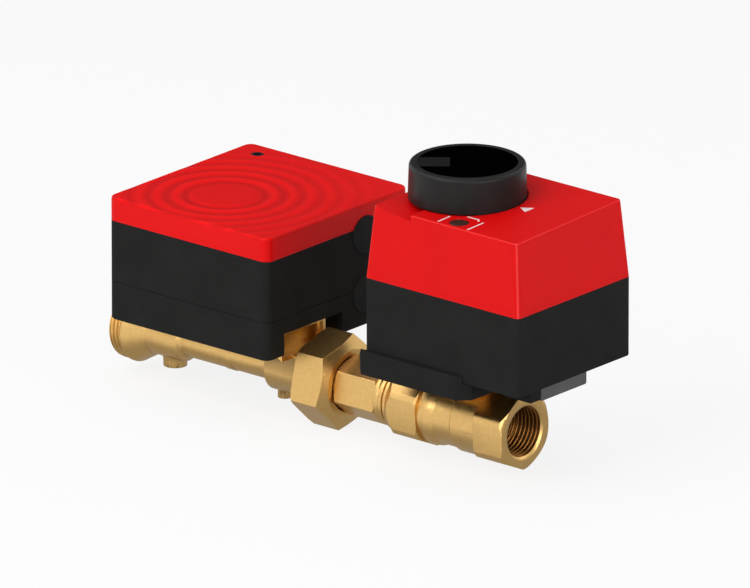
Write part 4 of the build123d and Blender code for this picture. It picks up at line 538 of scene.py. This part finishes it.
def paint_edge_highlight(finish, shader, colour, gain):
    """Paint a highlight on the rounded edges of a box-shaped moulding, where no axis takes most of the
    normal.
    """
    tree = finish.node_tree
    surface = tree.nodes.new("ShaderNodeNewGeometry")
    sides = tree.nodes.new("ShaderNodeVectorMath")
    sides.operation = "ABSOLUTE"
    tree.links.new(surface.outputs["Normal"], sides.inputs[0])
    share = tree.nodes.new("ShaderNodeSeparateXYZ")
    tree.links.new(sides.outputs["Vector"], share.inputs["Vector"])
    most = calc(tree, "MAXIMUM", share.outputs["X"], share.outputs["Y"])
    most = calc(tree, "MAXIMUM", most, share.outputs["Z"])
    flat_share = 0.88
    round_share = 0.74
    reach = tree.nodes.new("ShaderNodeMapRange")
    reach.inputs["From Min"].default_value = flat_share
    reach.inputs["From Max"].default_value = round_share
    reach.inputs["To Max"].default_value = gain
    tree.links.new(most, reach.inputs["Value"])
    mix_base(tree, shader, "MIX", reach.outputs["Result"], colour)


# The red moulding carries painted highlights on its rounded edges.
moulded_red, shader, place = new_red("moulded_red", 0.76)
paint_edge_highlight(moulded_red, shader, (1.0, 0.1, 0.1, 1.0), gain=0.5)


def distance_of(tree, across, down):
    """Distance that two offsets at right angles make."""
    squares = calc(tree, "ADD", calc(tree, "MULTIPLY", across, across), calc(tree, "MULTIPLY", down, down))
    return calc(tree, "SQRT", squares)


def count_rings(tree, away, first_radius, pitch, fade):
    """Rings passed at a distance from their middle, and the share of the ripple left there."""
    ring = calc(tree, "DIVIDE", calc(tree, "SUBTRACT", away, first_radius), pitch)
    ring = calc(tree, "MAXIMUM", ring, 0.0)
    left = calc(tree, "SUBTRACT", 1.0, calc(tree, "MULTIPLY", ring, fade))
    return ring, calc(tree, "MAXIMUM", left, 0.0)


def turn_of(tree, operation, ring):
    """Sine or cosine of a number of rings."""
    return calc(tree, operation, calc(tree, "MULTIPLY", ring, 2 * math.pi))


# Rippled slab: a flat box whose upper side dips in rings round a middle, each ring shallower
# than the last.
slab_tree, size, way_out = new_tree("rippled_slab", {
    "Size": "NodeSocketVector",
    "Middle": "NodeSocketVector",
    "Centre X": "NodeSocketFloat",
    "Centre Y": "NodeSocketFloat",
    "First Radius": "NodeSocketFloat",
    "Ring Pitch": "NodeSocketFloat",
    "Ring Depth": "NodeSocketFloat",
    "Fade": "NodeSocketFloat",
    "Columns": "NodeSocketInt",
    "Rows": "NodeSocketInt",
    "Finish": "NodeSocketMaterial",
})
slab = slab_tree.nodes.new("GeometryNodeMeshCube")
slab.inputs["Vertices Z"].default_value = 2
slab_tree.links.new(size["Size"], slab.inputs["Size"])
slab_tree.links.new(size["Columns"], slab.inputs["Vertices X"])
slab_tree.links.new(size["Rows"], slab.inputs["Vertices Y"])
put = slab_tree.nodes.new("GeometryNodeTransform")
slab_tree.links.new(slab.outputs["Mesh"], put.inputs["Geometry"])
slab_tree.links.new(size["Middle"], put.inputs["Translation"])
where = point_parts(slab_tree)
middle = slab_tree.nodes.new("ShaderNodeSeparateXYZ")
slab_tree.links.new(size["Middle"], middle.inputs["Vector"])
off_x = calc(slab_tree, "SUBTRACT", where["X"], size["Centre X"])
off_y = calc(slab_tree, "SUBTRACT", where["Y"], size["Centre Y"])
away = distance_of(slab_tree, off_x, off_y)
ring, left = count_rings(slab_tree, away, size["First Radius"], size["Ring Pitch"], size["Fade"])
wave = calc(slab_tree, "SUBTRACT", 1.0, turn_of(slab_tree, "COSINE", ring))
wave = calc(slab_tree, "MULTIPLY", wave, 0.5)
dip = calc(slab_tree, "MULTIPLY", calc(slab_tree, "MULTIPLY", wave, left), size["Ring Depth"])
shift = slab_tree.nodes.new("ShaderNodeCombineXYZ")
slab_tree.links.new(calc(slab_tree, "MULTIPLY", dip, -1.0), shift.inputs["Z"])
press = slab_tree.nodes.new("GeometryNodeSetPosition")
slab_tree.links.new(put.outputs["Geometry"], press.inputs["Geometry"])
upper_side = calc(slab_tree, "GREATER_THAN", where["Z"], middle.outputs["Z"])
slab_tree.links.new(upper_side, press.inputs["Selection"])
slab_tree.links.new(shift.outputs["Vector"], press.inputs["Offset"])
end_tree(slab_tree, press.outputs["Geometry"], size["Finish"], way_out)

lid_low, lid_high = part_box("housing_lid")
lid_margin = 0.002
ripple_sink = 0.00006
ripple_middle = (lid_high.x - 0.0456, 0.0026)
ripple_start = 0.0115
ripple_pitch = 0.007
ripple_depth = 0.00066
ripple_fade = 0.15
slab_low = lid_low.z - lid_margin
slab_high = lid_high.z - ripple_sink
rippled_lid = closed_copy("housing_lid", "housing_lid_rippled")
ripples = grow(
    "ripples", slab_tree,
    size=(lid_high.x - lid_low.x + lid_margin, lid_high.y - lid_low.y + lid_margin, slab_high - slab_low),
    middle=((lid_low.x + lid_high.x) / 2, (lid_low.y + lid_high.y) / 2, (slab_low + slab_high) / 2),
    centre_x=ripple_middle[0], centre_y=ripple_middle[1], first_radius=ripple_start,
    ring_pitch=ripple_pitch, ring_depth=ripple_depth, fade=ripple_fade,
    columns=170, rows=186, finish=moulded_red,
)
carve(rippled_lid, ripples, "INTERSECT")

# The lid's red has the texture of the other red moulding but is set lighter than the cap's, as painted
# light; painted shade deepens the hollows of the ripples and a painted highlight lightens their crests.
ripple_shade_start = ripple_start + ripple_pitch / 4
ripple_shade_strength = 0.2
ripple_shade_reach = 0.0012
# Its red level is set above the cap's: painted light on the lid.
rippled_red, shader, place = new_red("rippled_red", 0.82)
tree = rippled_red.node_tree
where = tree.nodes.new("ShaderNodeSeparateXYZ")
tree.links.new(place, where.inputs["Vector"])
off_x = calc(tree, "SUBTRACT", where.outputs["X"], ripple_middle[0])
off_y = calc(tree, "SUBTRACT", where.outputs["Y"], ripple_middle[1])
ring, left = count_rings(tree, distance_of(tree, off_x, off_y), ripple_shade_start, ripple_pitch, ripple_fade)
# Painted shade in the ripples' hollows and a painted highlight on their crests, on the lid's top only.
wave = calc(tree, "MULTIPLY", turn_of(tree, "SINE", ring), left)
on_top = calc(tree, "GREATER_THAN", where.outputs["Z"], lid_high.z - ripple_shade_reach)
ripple_painted_shade = calc(tree, "MULTIPLY", calc(tree, "MULTIPLY", wave, on_top), ripple_shade_strength)
tone = calc(tree, "SUBTRACT", 1.0, ripple_painted_shade)
grey = tree.nodes.new("ShaderNodeCombineXYZ")
for axis in ("X", "Y", "Z"):
    tree.links.new(tone, grey.inputs[axis])
mix_base(tree, shader, "MULTIPLY", 1.0, grey.outputs["Vector"])
stand_for(rippled_lid, "housing_lid", rippled_red, crease=28)

black_oxide, shader, place = new_finish(
    "black_oxide", (0.02, 0.02, 0.022), metallic=0.8, roughness=0.4, specular=0.5,
)
vary_roughness(black_oxide, shader, add_noise(black_oxide, place, 0.0008), 0.34, 0.5)
add_relief(
    black_oxide, shader, add_noise(black_oxide, place, 0.0003),
    depth=0.00002, strength=0.3, edge_radius=0.0001,
)
dress("lid_screw", black_oxide)

# The union joins sensor and valve: a nut and a nipple cast like the tube, and a sleeve
# turned from bar, with the fine rings that the tool leaves.
dress("union_nut", blasted_brass)
dress("hex_nipple", blasted_brass)
turned_brass, shader, place = new_finish(
    "turned_brass", (0.68, 0.45, 0.18), metallic=1.0, roughness=0.3, specular=0.5,
)
vary_colour(
    turned_brass, shader, add_noise(turned_brass, place, 0.006),
    (0.64, 0.42, 0.16), (0.72, 0.48, 0.2),
)
vary_roughness(turned_brass, shader, add_noise(turned_brass, place, 0.001), 0.24, 0.36)
add_relief(
    turned_brass, shader, add_noise(turned_brass, place, 0.0002, 1.0, (1.0, 0.05, 0.05)),
    depth=0.00003, strength=0.3, edge_radius=0.0002,
)
dress("union_sleeve", turned_brass)

# The valve is a screwed end piece and a body, both blasted castings. The outlet has a
# tapped pipe thread, right-handed, that runs out before the port, and painted shade darkens its bore.
dress("end_piece", blasted_brass)
tapped_brass, shader, place = new_brass("tapped_brass")
thread_bore = 0.01045
thread_mouth_x = -0.0007
tree = tapped_brass.node_tree
where = tree.nodes.new("ShaderNodeSeparateXYZ")
tree.links.new(place, where.inputs["Vector"])
off_axis = distance_of(tree, where.outputs["Y"], where.outputs["Z"])
within = calc(tree, "LESS_THAN", off_axis, thread_bore)
behind_mouth = calc(tree, "LESS_THAN", where.outputs["X"], thread_mouth_x)
painted_bore_shade = calc(tree, "MULTIPLY", within, behind_mouth)
# Painted shade: the brass inside the bore, behind its mouth, is turned deep brown.
mix_base(tree, shader, "MIX", painted_bore_shade, (0.24, 0.1, 0.024, 1.0))

tap_crest = 0.00932
tap_depth = 0.00108
tap_start = -0.01412
tap_end = 0.001
tap_run_out_slope = 0.6
flare_radius = 0.00935
flare_start = 0.01317
filler_start = -0.01405
filler_end = -0.00005
filler_radius = 0.0109
tapped = closed_copy("valve_body", "valve_body_tapped")
carve(tapped, plain_rod("filler", filler_start, filler_end, filler_radius), "UNION")
tap = grow(
    "tap", thread_tree, start=tap_start, length=tap_end - tap_start, pitch=pipe_pitch,
    radius=tap_crest, depth=tap_depth, least_radius=flare_radius - flare_start, least_slope=1.0,
    most_radius=tap_crest, most_slope=tap_run_out_slope,
    rounds=thread_rounds, rows=103, finish=blasted_brass,
)
carve(tapped, tap, "DIFFERENCE")
stand_for(tapped, "valve_body", tapped_brass, crease=24)

# Inside, the ball is brass under polished chrome, between seats of white fluoroplastic,
# and turns on a brass stem.
ball_chrome, shader, place = new_finish(
    "ball_chrome", (0.62, 0.63, 0.64), metallic=1.0, roughness=0.1, specular=0.5,
)
vary_roughness(ball_chrome, shader, add_noise(ball_chrome, place, 0.003), 0.07, 0.14)
add_relief(ball_chrome, shader, add_noise(ball_chrome, place, 0.0008), depth=0.00001, strength=0.2)
dress("ball", ball_chrome)
dress("stem", turned_brass)
seat_white, shader, place = new_finish(
    "seat_white", (0.78, 0.78, 0.76), metallic=0.0, roughness=0.4, specular=0.4,
)
vary_colour(seat_white, shader, add_noise(seat_white, place, 0.004), (0.75, 0.75, 0.73), (0.8, 0.8, 0.78))
add_relief(
    seat_white, shader, add_noise(seat_white, place, 0.0005),
    depth=0.00002, strength=0.3, edge_radius=0.0002,
)
dress("seat_inlet", seat_white)
dress("seat_outlet", seat_white)

# The adapter plate is screwed to the brass flange, and the actuator's black shell is
# pushed down over its lips.
dress("adapter_plate", moulded_black)
dress("actuator_base", moulded_black)
grey_moulding, shader, place = new_finish(
    "grey_moulding", (0.115, 0.115, 0.115), metallic=0.0, roughness=0.5, specular=0.1,
)
vary_colour(
    grey_moulding, shader, add_noise(grey_moulding, place, 0.008),
    (0.107, 0.107, 0.107), (0.123, 0.123, 0.123),
)
vary_roughness(grey_moulding, shader, add_noise(grey_moulding, place, 0.002), 0.46, 0.56)
add_relief(
    grey_moulding, shader, add_noise(grey_moulding, place, 0.0004),
    depth=0.00004, strength=0.3, edge_radius=0.0003,
)
dress("cable_block", grey_moulding)

# The gears are moulded in natural acetal. The plate over them is galvanised sheet with
# its spangle, and carries a motor in a plated can.
acetal, shader, place = new_finish("acetal", (0.7, 0.68, 0.6), metallic=0.0, roughness=0.4, specular=0.4)
vary_colour(acetal, shader, add_noise(acetal, place, 0.006), (0.67, 0.65, 0.57), (0.73, 0.71, 0.63))
add_relief(
    acetal, shader, add_noise(acetal, place, 0.0005),
    depth=0.00003, strength=0.3, edge_radius=0.0001,
)
for node in ("output_gear", "second_gear", "first_gear"):
    dress(node, acetal)
galvanised, shader, place = new_finish(
    "galvanised", (0.5, 0.52, 0.54), metallic=1.0, roughness=0.4, specular=0.5,
)
spangle = galvanised.node_tree.nodes.new("ShaderNodeTexVoronoi")
spangle.inputs["Scale"].default_value = 300.0
galvanised.node_tree.links.new(place, spangle.inputs["Vector"])
vary_colour(galvanised, shader, spangle.outputs["Distance"], (0.46, 0.48, 0.5), (0.56, 0.58, 0.6))
vary_roughness(galvanised, shader, add_noise(galvanised, place, 0.002), 0.34, 0.48)
dress("gear_plate", galvanised)
plated_can, shader, place = new_finish(
    "plated_can", (0.55, 0.55, 0.56), metallic=1.0, roughness=0.25, specular=0.5,
)
vary_colour(plated_can, shader, add_noise(plated_can, place, 0.01), (0.52, 0.52, 0.53), (0.58, 0.58, 0.59))
vary_roughness(plated_can, shader, add_noise(plated_can, place, 0.002), 0.2, 0.32)
dress("motor", plated_can)

# The cap is moulded in the same red as the lid. Its marks are printed in white: a pointer
# beside the knob and an open frame round the release button.
dress("actuator_cap", moulded_red)
print_white, shader, place = new_finish(
    "print_white", (0.9, 0.76, 0.76), metallic=0.0, roughness=0.5, specular=0.3,
)
vary_colour(print_white, shader, add_noise(print_white, place, 0.0006), (0.88, 0.7, 0.7), (0.95, 0.8, 0.8))
add_relief(print_white, shader, add_noise(print_white, place, 0.0003), depth=0.00001, strength=0.3)
cap_front_y = -0.0293
cap_front_height = 0.0855
cap_rise = 0.0019
cap_depth = 0.0605
print_thickness = 0.00005


def lay_print(name, outlines):
    """Thin ink layer on the sloping top of the cap, from outlines in plan round the stem."""
    work = bmesh.new()
    for outline in outlines:
        layers = []
        for lift in (-print_thickness, print_thickness):
            layers.append([
                work.verts.new((
                    stem_foot.x + x,
                    y,
                    cap_front_height + (y - cap_front_y) * cap_rise / cap_depth + lift,
                ))
                for x, y in outline
            ])
        work.faces.new(layers[1])
        work.faces.new(layers[0][::-1])
        for step in range(len(outline)):
            after = (step + 1) % len(outline)
            work.faces.new((layers[0][step], layers[0][after], layers[1][after], layers[1][step]))
    bmesh.ops.recalc_face_normals(work, faces=work.faces)
    mesh = bpy.data.meshes.new(name)
    work.to_mesh(mesh)
    work.free()
    mesh.materials.append(print_white)
    piece = bpy.data.objects.new(name, mesh)
    bpy.context.scene.collection.objects.link(piece)
    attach(piece, "root")


lay_print("pointer_mark", [[(0.0242, 0.0014), (0.0287, -0.0013), (0.0287, 0.0041)]])
lay_print("button_frame", [
    [(0.0092, -0.0282), (0.0099, -0.0282), (0.0099, -0.0213), (0.0092, -0.0213)],
    [(0.0150, -0.0182), (0.0203, -0.0182), (0.0203, -0.0175), (0.0150, -0.0175)],
    [(0.0203, -0.0182), (0.0213, -0.0196), (0.0218, -0.0192), (0.0208, -0.0177), (0.0203, -0.0175)],
    [(0.0235, -0.0284), (0.0242, -0.0284), (0.0242, -0.0192), (0.0235, -0.0192)],
])

# The release button is a small brown moulding that stands flush with the cap. It slides in
# a well of its own and is pressed down with a finger.
button_brown, shader, place = new_finish(
    "button_brown", (0.04, 0.011, 0.006), metallic=0.0, roughness=0.5, specular=0.3,
)
vary_colour(
    button_brown, shader, add_noise(button_brown, place, 0.003),
    (0.036, 0.01, 0.0055), (0.045, 0.0125, 0.007),
)
vary_roughness(button_brown, shader, add_noise(button_brown, place, 0.001), 0.44, 0.56)
add_relief(
    button_brown, shader, add_noise(button_brown, place, 0.0003),
    depth=0.00003, strength=0.3, edge_radius=0.0002,
)
dress("release_button", button_brown)

# The coil spring under it is wound from drawn steel wire and stands free in its pocket.
return_spring = closed_copy("button_spring", "return_spring")
stand_for(return_spring, "button_spring", drawn_steel, crease=60)
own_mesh(return_spring)

# The hand knob is moulded in black with a satin rim. A glossy disc is let into its top, and
# a matte raised band on it points to the flow setting.
knob_satin, shader, place = new_finish(
    "knob_satin", (0.0165, 0.016, 0.0155), metallic=0.0, roughness=0.36, specular=0.17,
)
vary_colour(
    knob_satin, shader, add_noise(knob_satin, place, 0.01),
    (0.0105, 0.01, 0.0095), (0.0125, 0.012, 0.0115),
)
vary_roughness(knob_satin, shader, add_noise(knob_satin, place, 0.002), 0.32, 0.42)
add_relief(
    knob_satin, shader, add_noise(knob_satin, place, 0.0003),
    depth=0.00003, strength=0.25, edge_radius=0.0003,
)
dress("knob", knob_satin)
gloss_black, shader, place = new_finish(
    "gloss_black", (0.0006, 0.0006, 0.0006), metallic=0.0, roughness=0.08, specular=0.0,
)
vary_roughness(gloss_black, shader, add_noise(gloss_black, place, 0.01), 0.06, 0.10)
dress("knob_disc", gloss_black)
pointer_grey, shader, place = new_finish(
    "pointer_grey", (0.011, 0.011, 0.011), metallic=0.0, roughness=0.6, specular=0.02,
)
vary_roughness(pointer_grey, shader, add_noise(pointer_grey, place, 0.001), 0.55, 0.65)
add_relief(pointer_grey, shader, add_noise(pointer_grey, place, 0.0004), depth=0.00004, strength=0.3)
dress("knob_pointer", pointer_grey)

# Set: a pale floor under the lowest brass, in a white room. Three soft lamps light the valve,
# a key from the front, a fill from the right and one above.
floor_height = cad_low.z
floor_mesh = bpy.data.meshes.new("floor")
floor_half = 12.0
floor_mesh.from_pydata(
    [(x * floor_half, y * floor_half, floor_height) for x, y in ((-1, -1), (1, -1), (1, 1), (-1, 1))],
    [],
    [(0, 1, 2, 3)],
)
floor = bpy.data.objects.new("floor", floor_mesh)
bpy.context.scene.collection.objects.link(floor)

scene = bpy.context.scene
scene.view_settings.view_transform = "Standard"


def split_rays(tree, plain, mirrored, seen, target_socket):
    """Separate shaders for diffuse light, for reflections and for the camera."""
    rays = tree.nodes.new("ShaderNodeLightPath")
    inner = tree.nodes.new("ShaderNodeMixShader")
    tree.links.new(rays.outputs["Is Glossy Ray"], inner.inputs["Fac"])
    tree.links.new(plain, inner.inputs[1])
    tree.links.new(mirrored, inner.inputs[2])
    outer = tree.nodes.new("ShaderNodeMixShader")
    tree.links.new(rays.outputs["Is Camera Ray"], outer.inputs["Fac"])
    tree.links.new(inner.outputs["Shader"], outer.inputs[1])
    tree.links.new(seen, outer.inputs[2])
    tree.links.new(outer.outputs["Shader"], target_socket)


# The room is a dim even white, the backdrop nearly full white, and what the brass and the
# glossy black mirror is a room that darkens upwards and behind, with three soft panels.
world = bpy.data.worlds.new("studio")
world.use_nodes = True
scene.world = world
tree = world.node_tree
white = (1.0, 1.0, 1.0, 1.0)
backdrop_level = 0.965
room = tree.nodes["Background"]
room.inputs["Color"].default_value = white
room.inputs["Strength"].default_value = 0.32
backdrop = tree.nodes.new("ShaderNodeBackground")
backdrop.inputs["Color"].default_value = white
backdrop.inputs["Strength"].default_value = backdrop_level
heading = tree.nodes.new("ShaderNodeTexCoord")
height = tree.nodes.new("ShaderNodeSeparateXYZ")
tree.links.new(heading.outputs["Generated"], height.inputs["Vector"])
dusk = tree.nodes.new("ShaderNodeValToRGB")
dusk.color_ramp.elements[0].position = 0.55
dusk.color_ramp.elements[0].color = white
dusk.color_ramp.elements[1].position = 1.0
dusk.color_ramp.elements[1].color = (0.4, 0.4, 0.4, 1.0)
tree.links.new(height.outputs["Z"], dusk.inputs["Fac"])
mirror_room = tree.nodes.new("ShaderNodeBackground")
tree.links.new(dusk.outputs["Color"], mirror_room.inputs["Color"])


def patch_of_room(aim, edge, middle, outside, inside):
    """Level that runs from outside a round patch of the room, towards an aim, to inside it."""
    toward = tree.nodes.new("ShaderNodeVectorMath")
    toward.operation = "DOT_PRODUCT"
    toward.inputs[1].default_value = Vector(aim).normalized()
    tree.links.new(heading.outputs["Generated"], toward.inputs[0])
    spread = tree.nodes.new("ShaderNodeMapRange")
    spread.inputs["From Min"].default_value = edge
    spread.inputs["From Max"].default_value = middle
    spread.inputs["To Min"].default_value = outside
    spread.inputs["To Max"].default_value = inside
    tree.links.new(toward.outputs["Value"], spread.inputs["Value"])
    return spread.outputs["Result"]


dark_wall = patch_of_room(
    (-0.6, 0.75, 0.25), edge=0.82, middle=0.94, outside=backdrop_level, inside=0.12,
)
tree.links.new(dark_wall, mirror_room.inputs["Strength"])
around = mirror_room.outputs["Background"]
panels = (
    ((0.75, -0.55, 0.36), 2.5),
    ((-0.61, -0.31, 0.7), 2.8),
    ((0.31, 0.72, 0.59), 1.5),
)
for aim, strength in panels:
    panel = tree.nodes.new("ShaderNodeBackground")
    bright_patch = patch_of_room(aim, edge=0.93, middle=0.98, outside=0.0, inside=strength)
    tree.links.new(bright_patch, panel.inputs["Strength"])
    lit = tree.nodes.new("ShaderNodeAddShader")
    tree.links.new(around, lit.inputs[0])
    tree.links.new(panel.outputs["Background"], lit.inputs[1])
    around = lit.outputs["Shader"]
split_rays(
    tree, room.outputs["Background"], around, backdrop.outputs["Background"],
    tree.nodes["World Output"].inputs["Surface"],
)

# The camera sees the floor nearly white, with the valve's soft shadow on it. In the brass it
# shows a painted shadow: bright in front of the valve, grey under it and paler again behind.
floor_finish, shader, place = new_finish(
    "floor_finish", (0.82, 0.82, 0.82), metallic=0.0, roughness=0.9, specular=0.0,
)
floor_mesh.materials.append(floor_finish)
tree = floor_finish.node_tree
glow = tree.nodes.new("ShaderNodeEmission")
glow.inputs["Strength"].default_value = 0.85
both = tree.nodes.new("ShaderNodeAddShader")
tree.links.new(glow.outputs["Emission"], both.inputs[1])
veil = tree.nodes.new("ShaderNodeBsdfDiffuse")
veil.inputs["Color"].default_value = (0.14, 0.14, 0.14, 1.0)
tree.links.new(veil.outputs["BSDF"], both.inputs[0])
across = tree.nodes.new("ShaderNodeSeparateXYZ")
tree.links.new(place, across.inputs["Vector"])
# Painted shadow and light for reflections, set by how far behind the valve a point of the floor lies.
nearness = tree.nodes.new("ShaderNodeMapRange")
nearness.inputs["From Min"].default_value = -0.1
nearness.inputs["From Max"].default_value = 0.3
tree.links.new(across.outputs["Y"], nearness.inputs["Value"])
shade = tree.nodes.new("ShaderNodeValToRGB")
shade_stops = ((0.14, 1.12), (0.2, 0.45), (0.5, 0.45), (1.0, 0.9))
for position, level in shade_stops:
    stop = shade.color_ramp.elements.new(position)
    stop.color = (level, level, level, 1.0)
shade.color_ramp.elements.remove(shade.color_ramp.elements[0])
tree.links.new(nearness.outputs["Result"], shade.inputs["Fac"])
shaded = tree.nodes.new("ShaderNodeEmission")
tree.links.new(shade.outputs["Color"], shaded.inputs["Color"])
split_rays(
    tree, shader.outputs["BSDF"], shaded.outputs["Emission"], both.outputs["Shader"],
    tree.nodes["Material Output"].inputs["Surface"],
)


def add_lamp(name, azimuth, elevation, distance, size, power):
    """Square soft lamp that looks at the middle of the valve."""
    middle = (cad_low + cad_high) / 2
    azimuth, elevation = math.radians(azimuth), math.radians(elevation)
    away = Vector((
        math.sin(azimuth) * math.cos(elevation),
        -math.cos(azimuth) * math.cos(elevation),
        math.sin(elevation),
    ))
    lamp_data = bpy.data.lights.new(name, "AREA")
    lamp_data.size = size
    lamp_data.energy = power
    lamp = bpy.data.objects.new(name, lamp_data)
    lamp.location = middle + away * distance
    lamp.rotation_mode = "QUATERNION"
    lamp.rotation_quaternion = (-away).to_track_quat("-Z", "Y")
    scene.collection.objects.link(lamp)


add_lamp("key", azimuth=-5, elevation=38, distance=1.6, size=1.2, power=13.8)
add_lamp("fill", azimuth=84, elevation=16, distance=1.8, size=1.0, power=8.4)
add_lamp("top", azimuth=-20, elevation=80, distance=1.6, size=1.4, power=6.5)
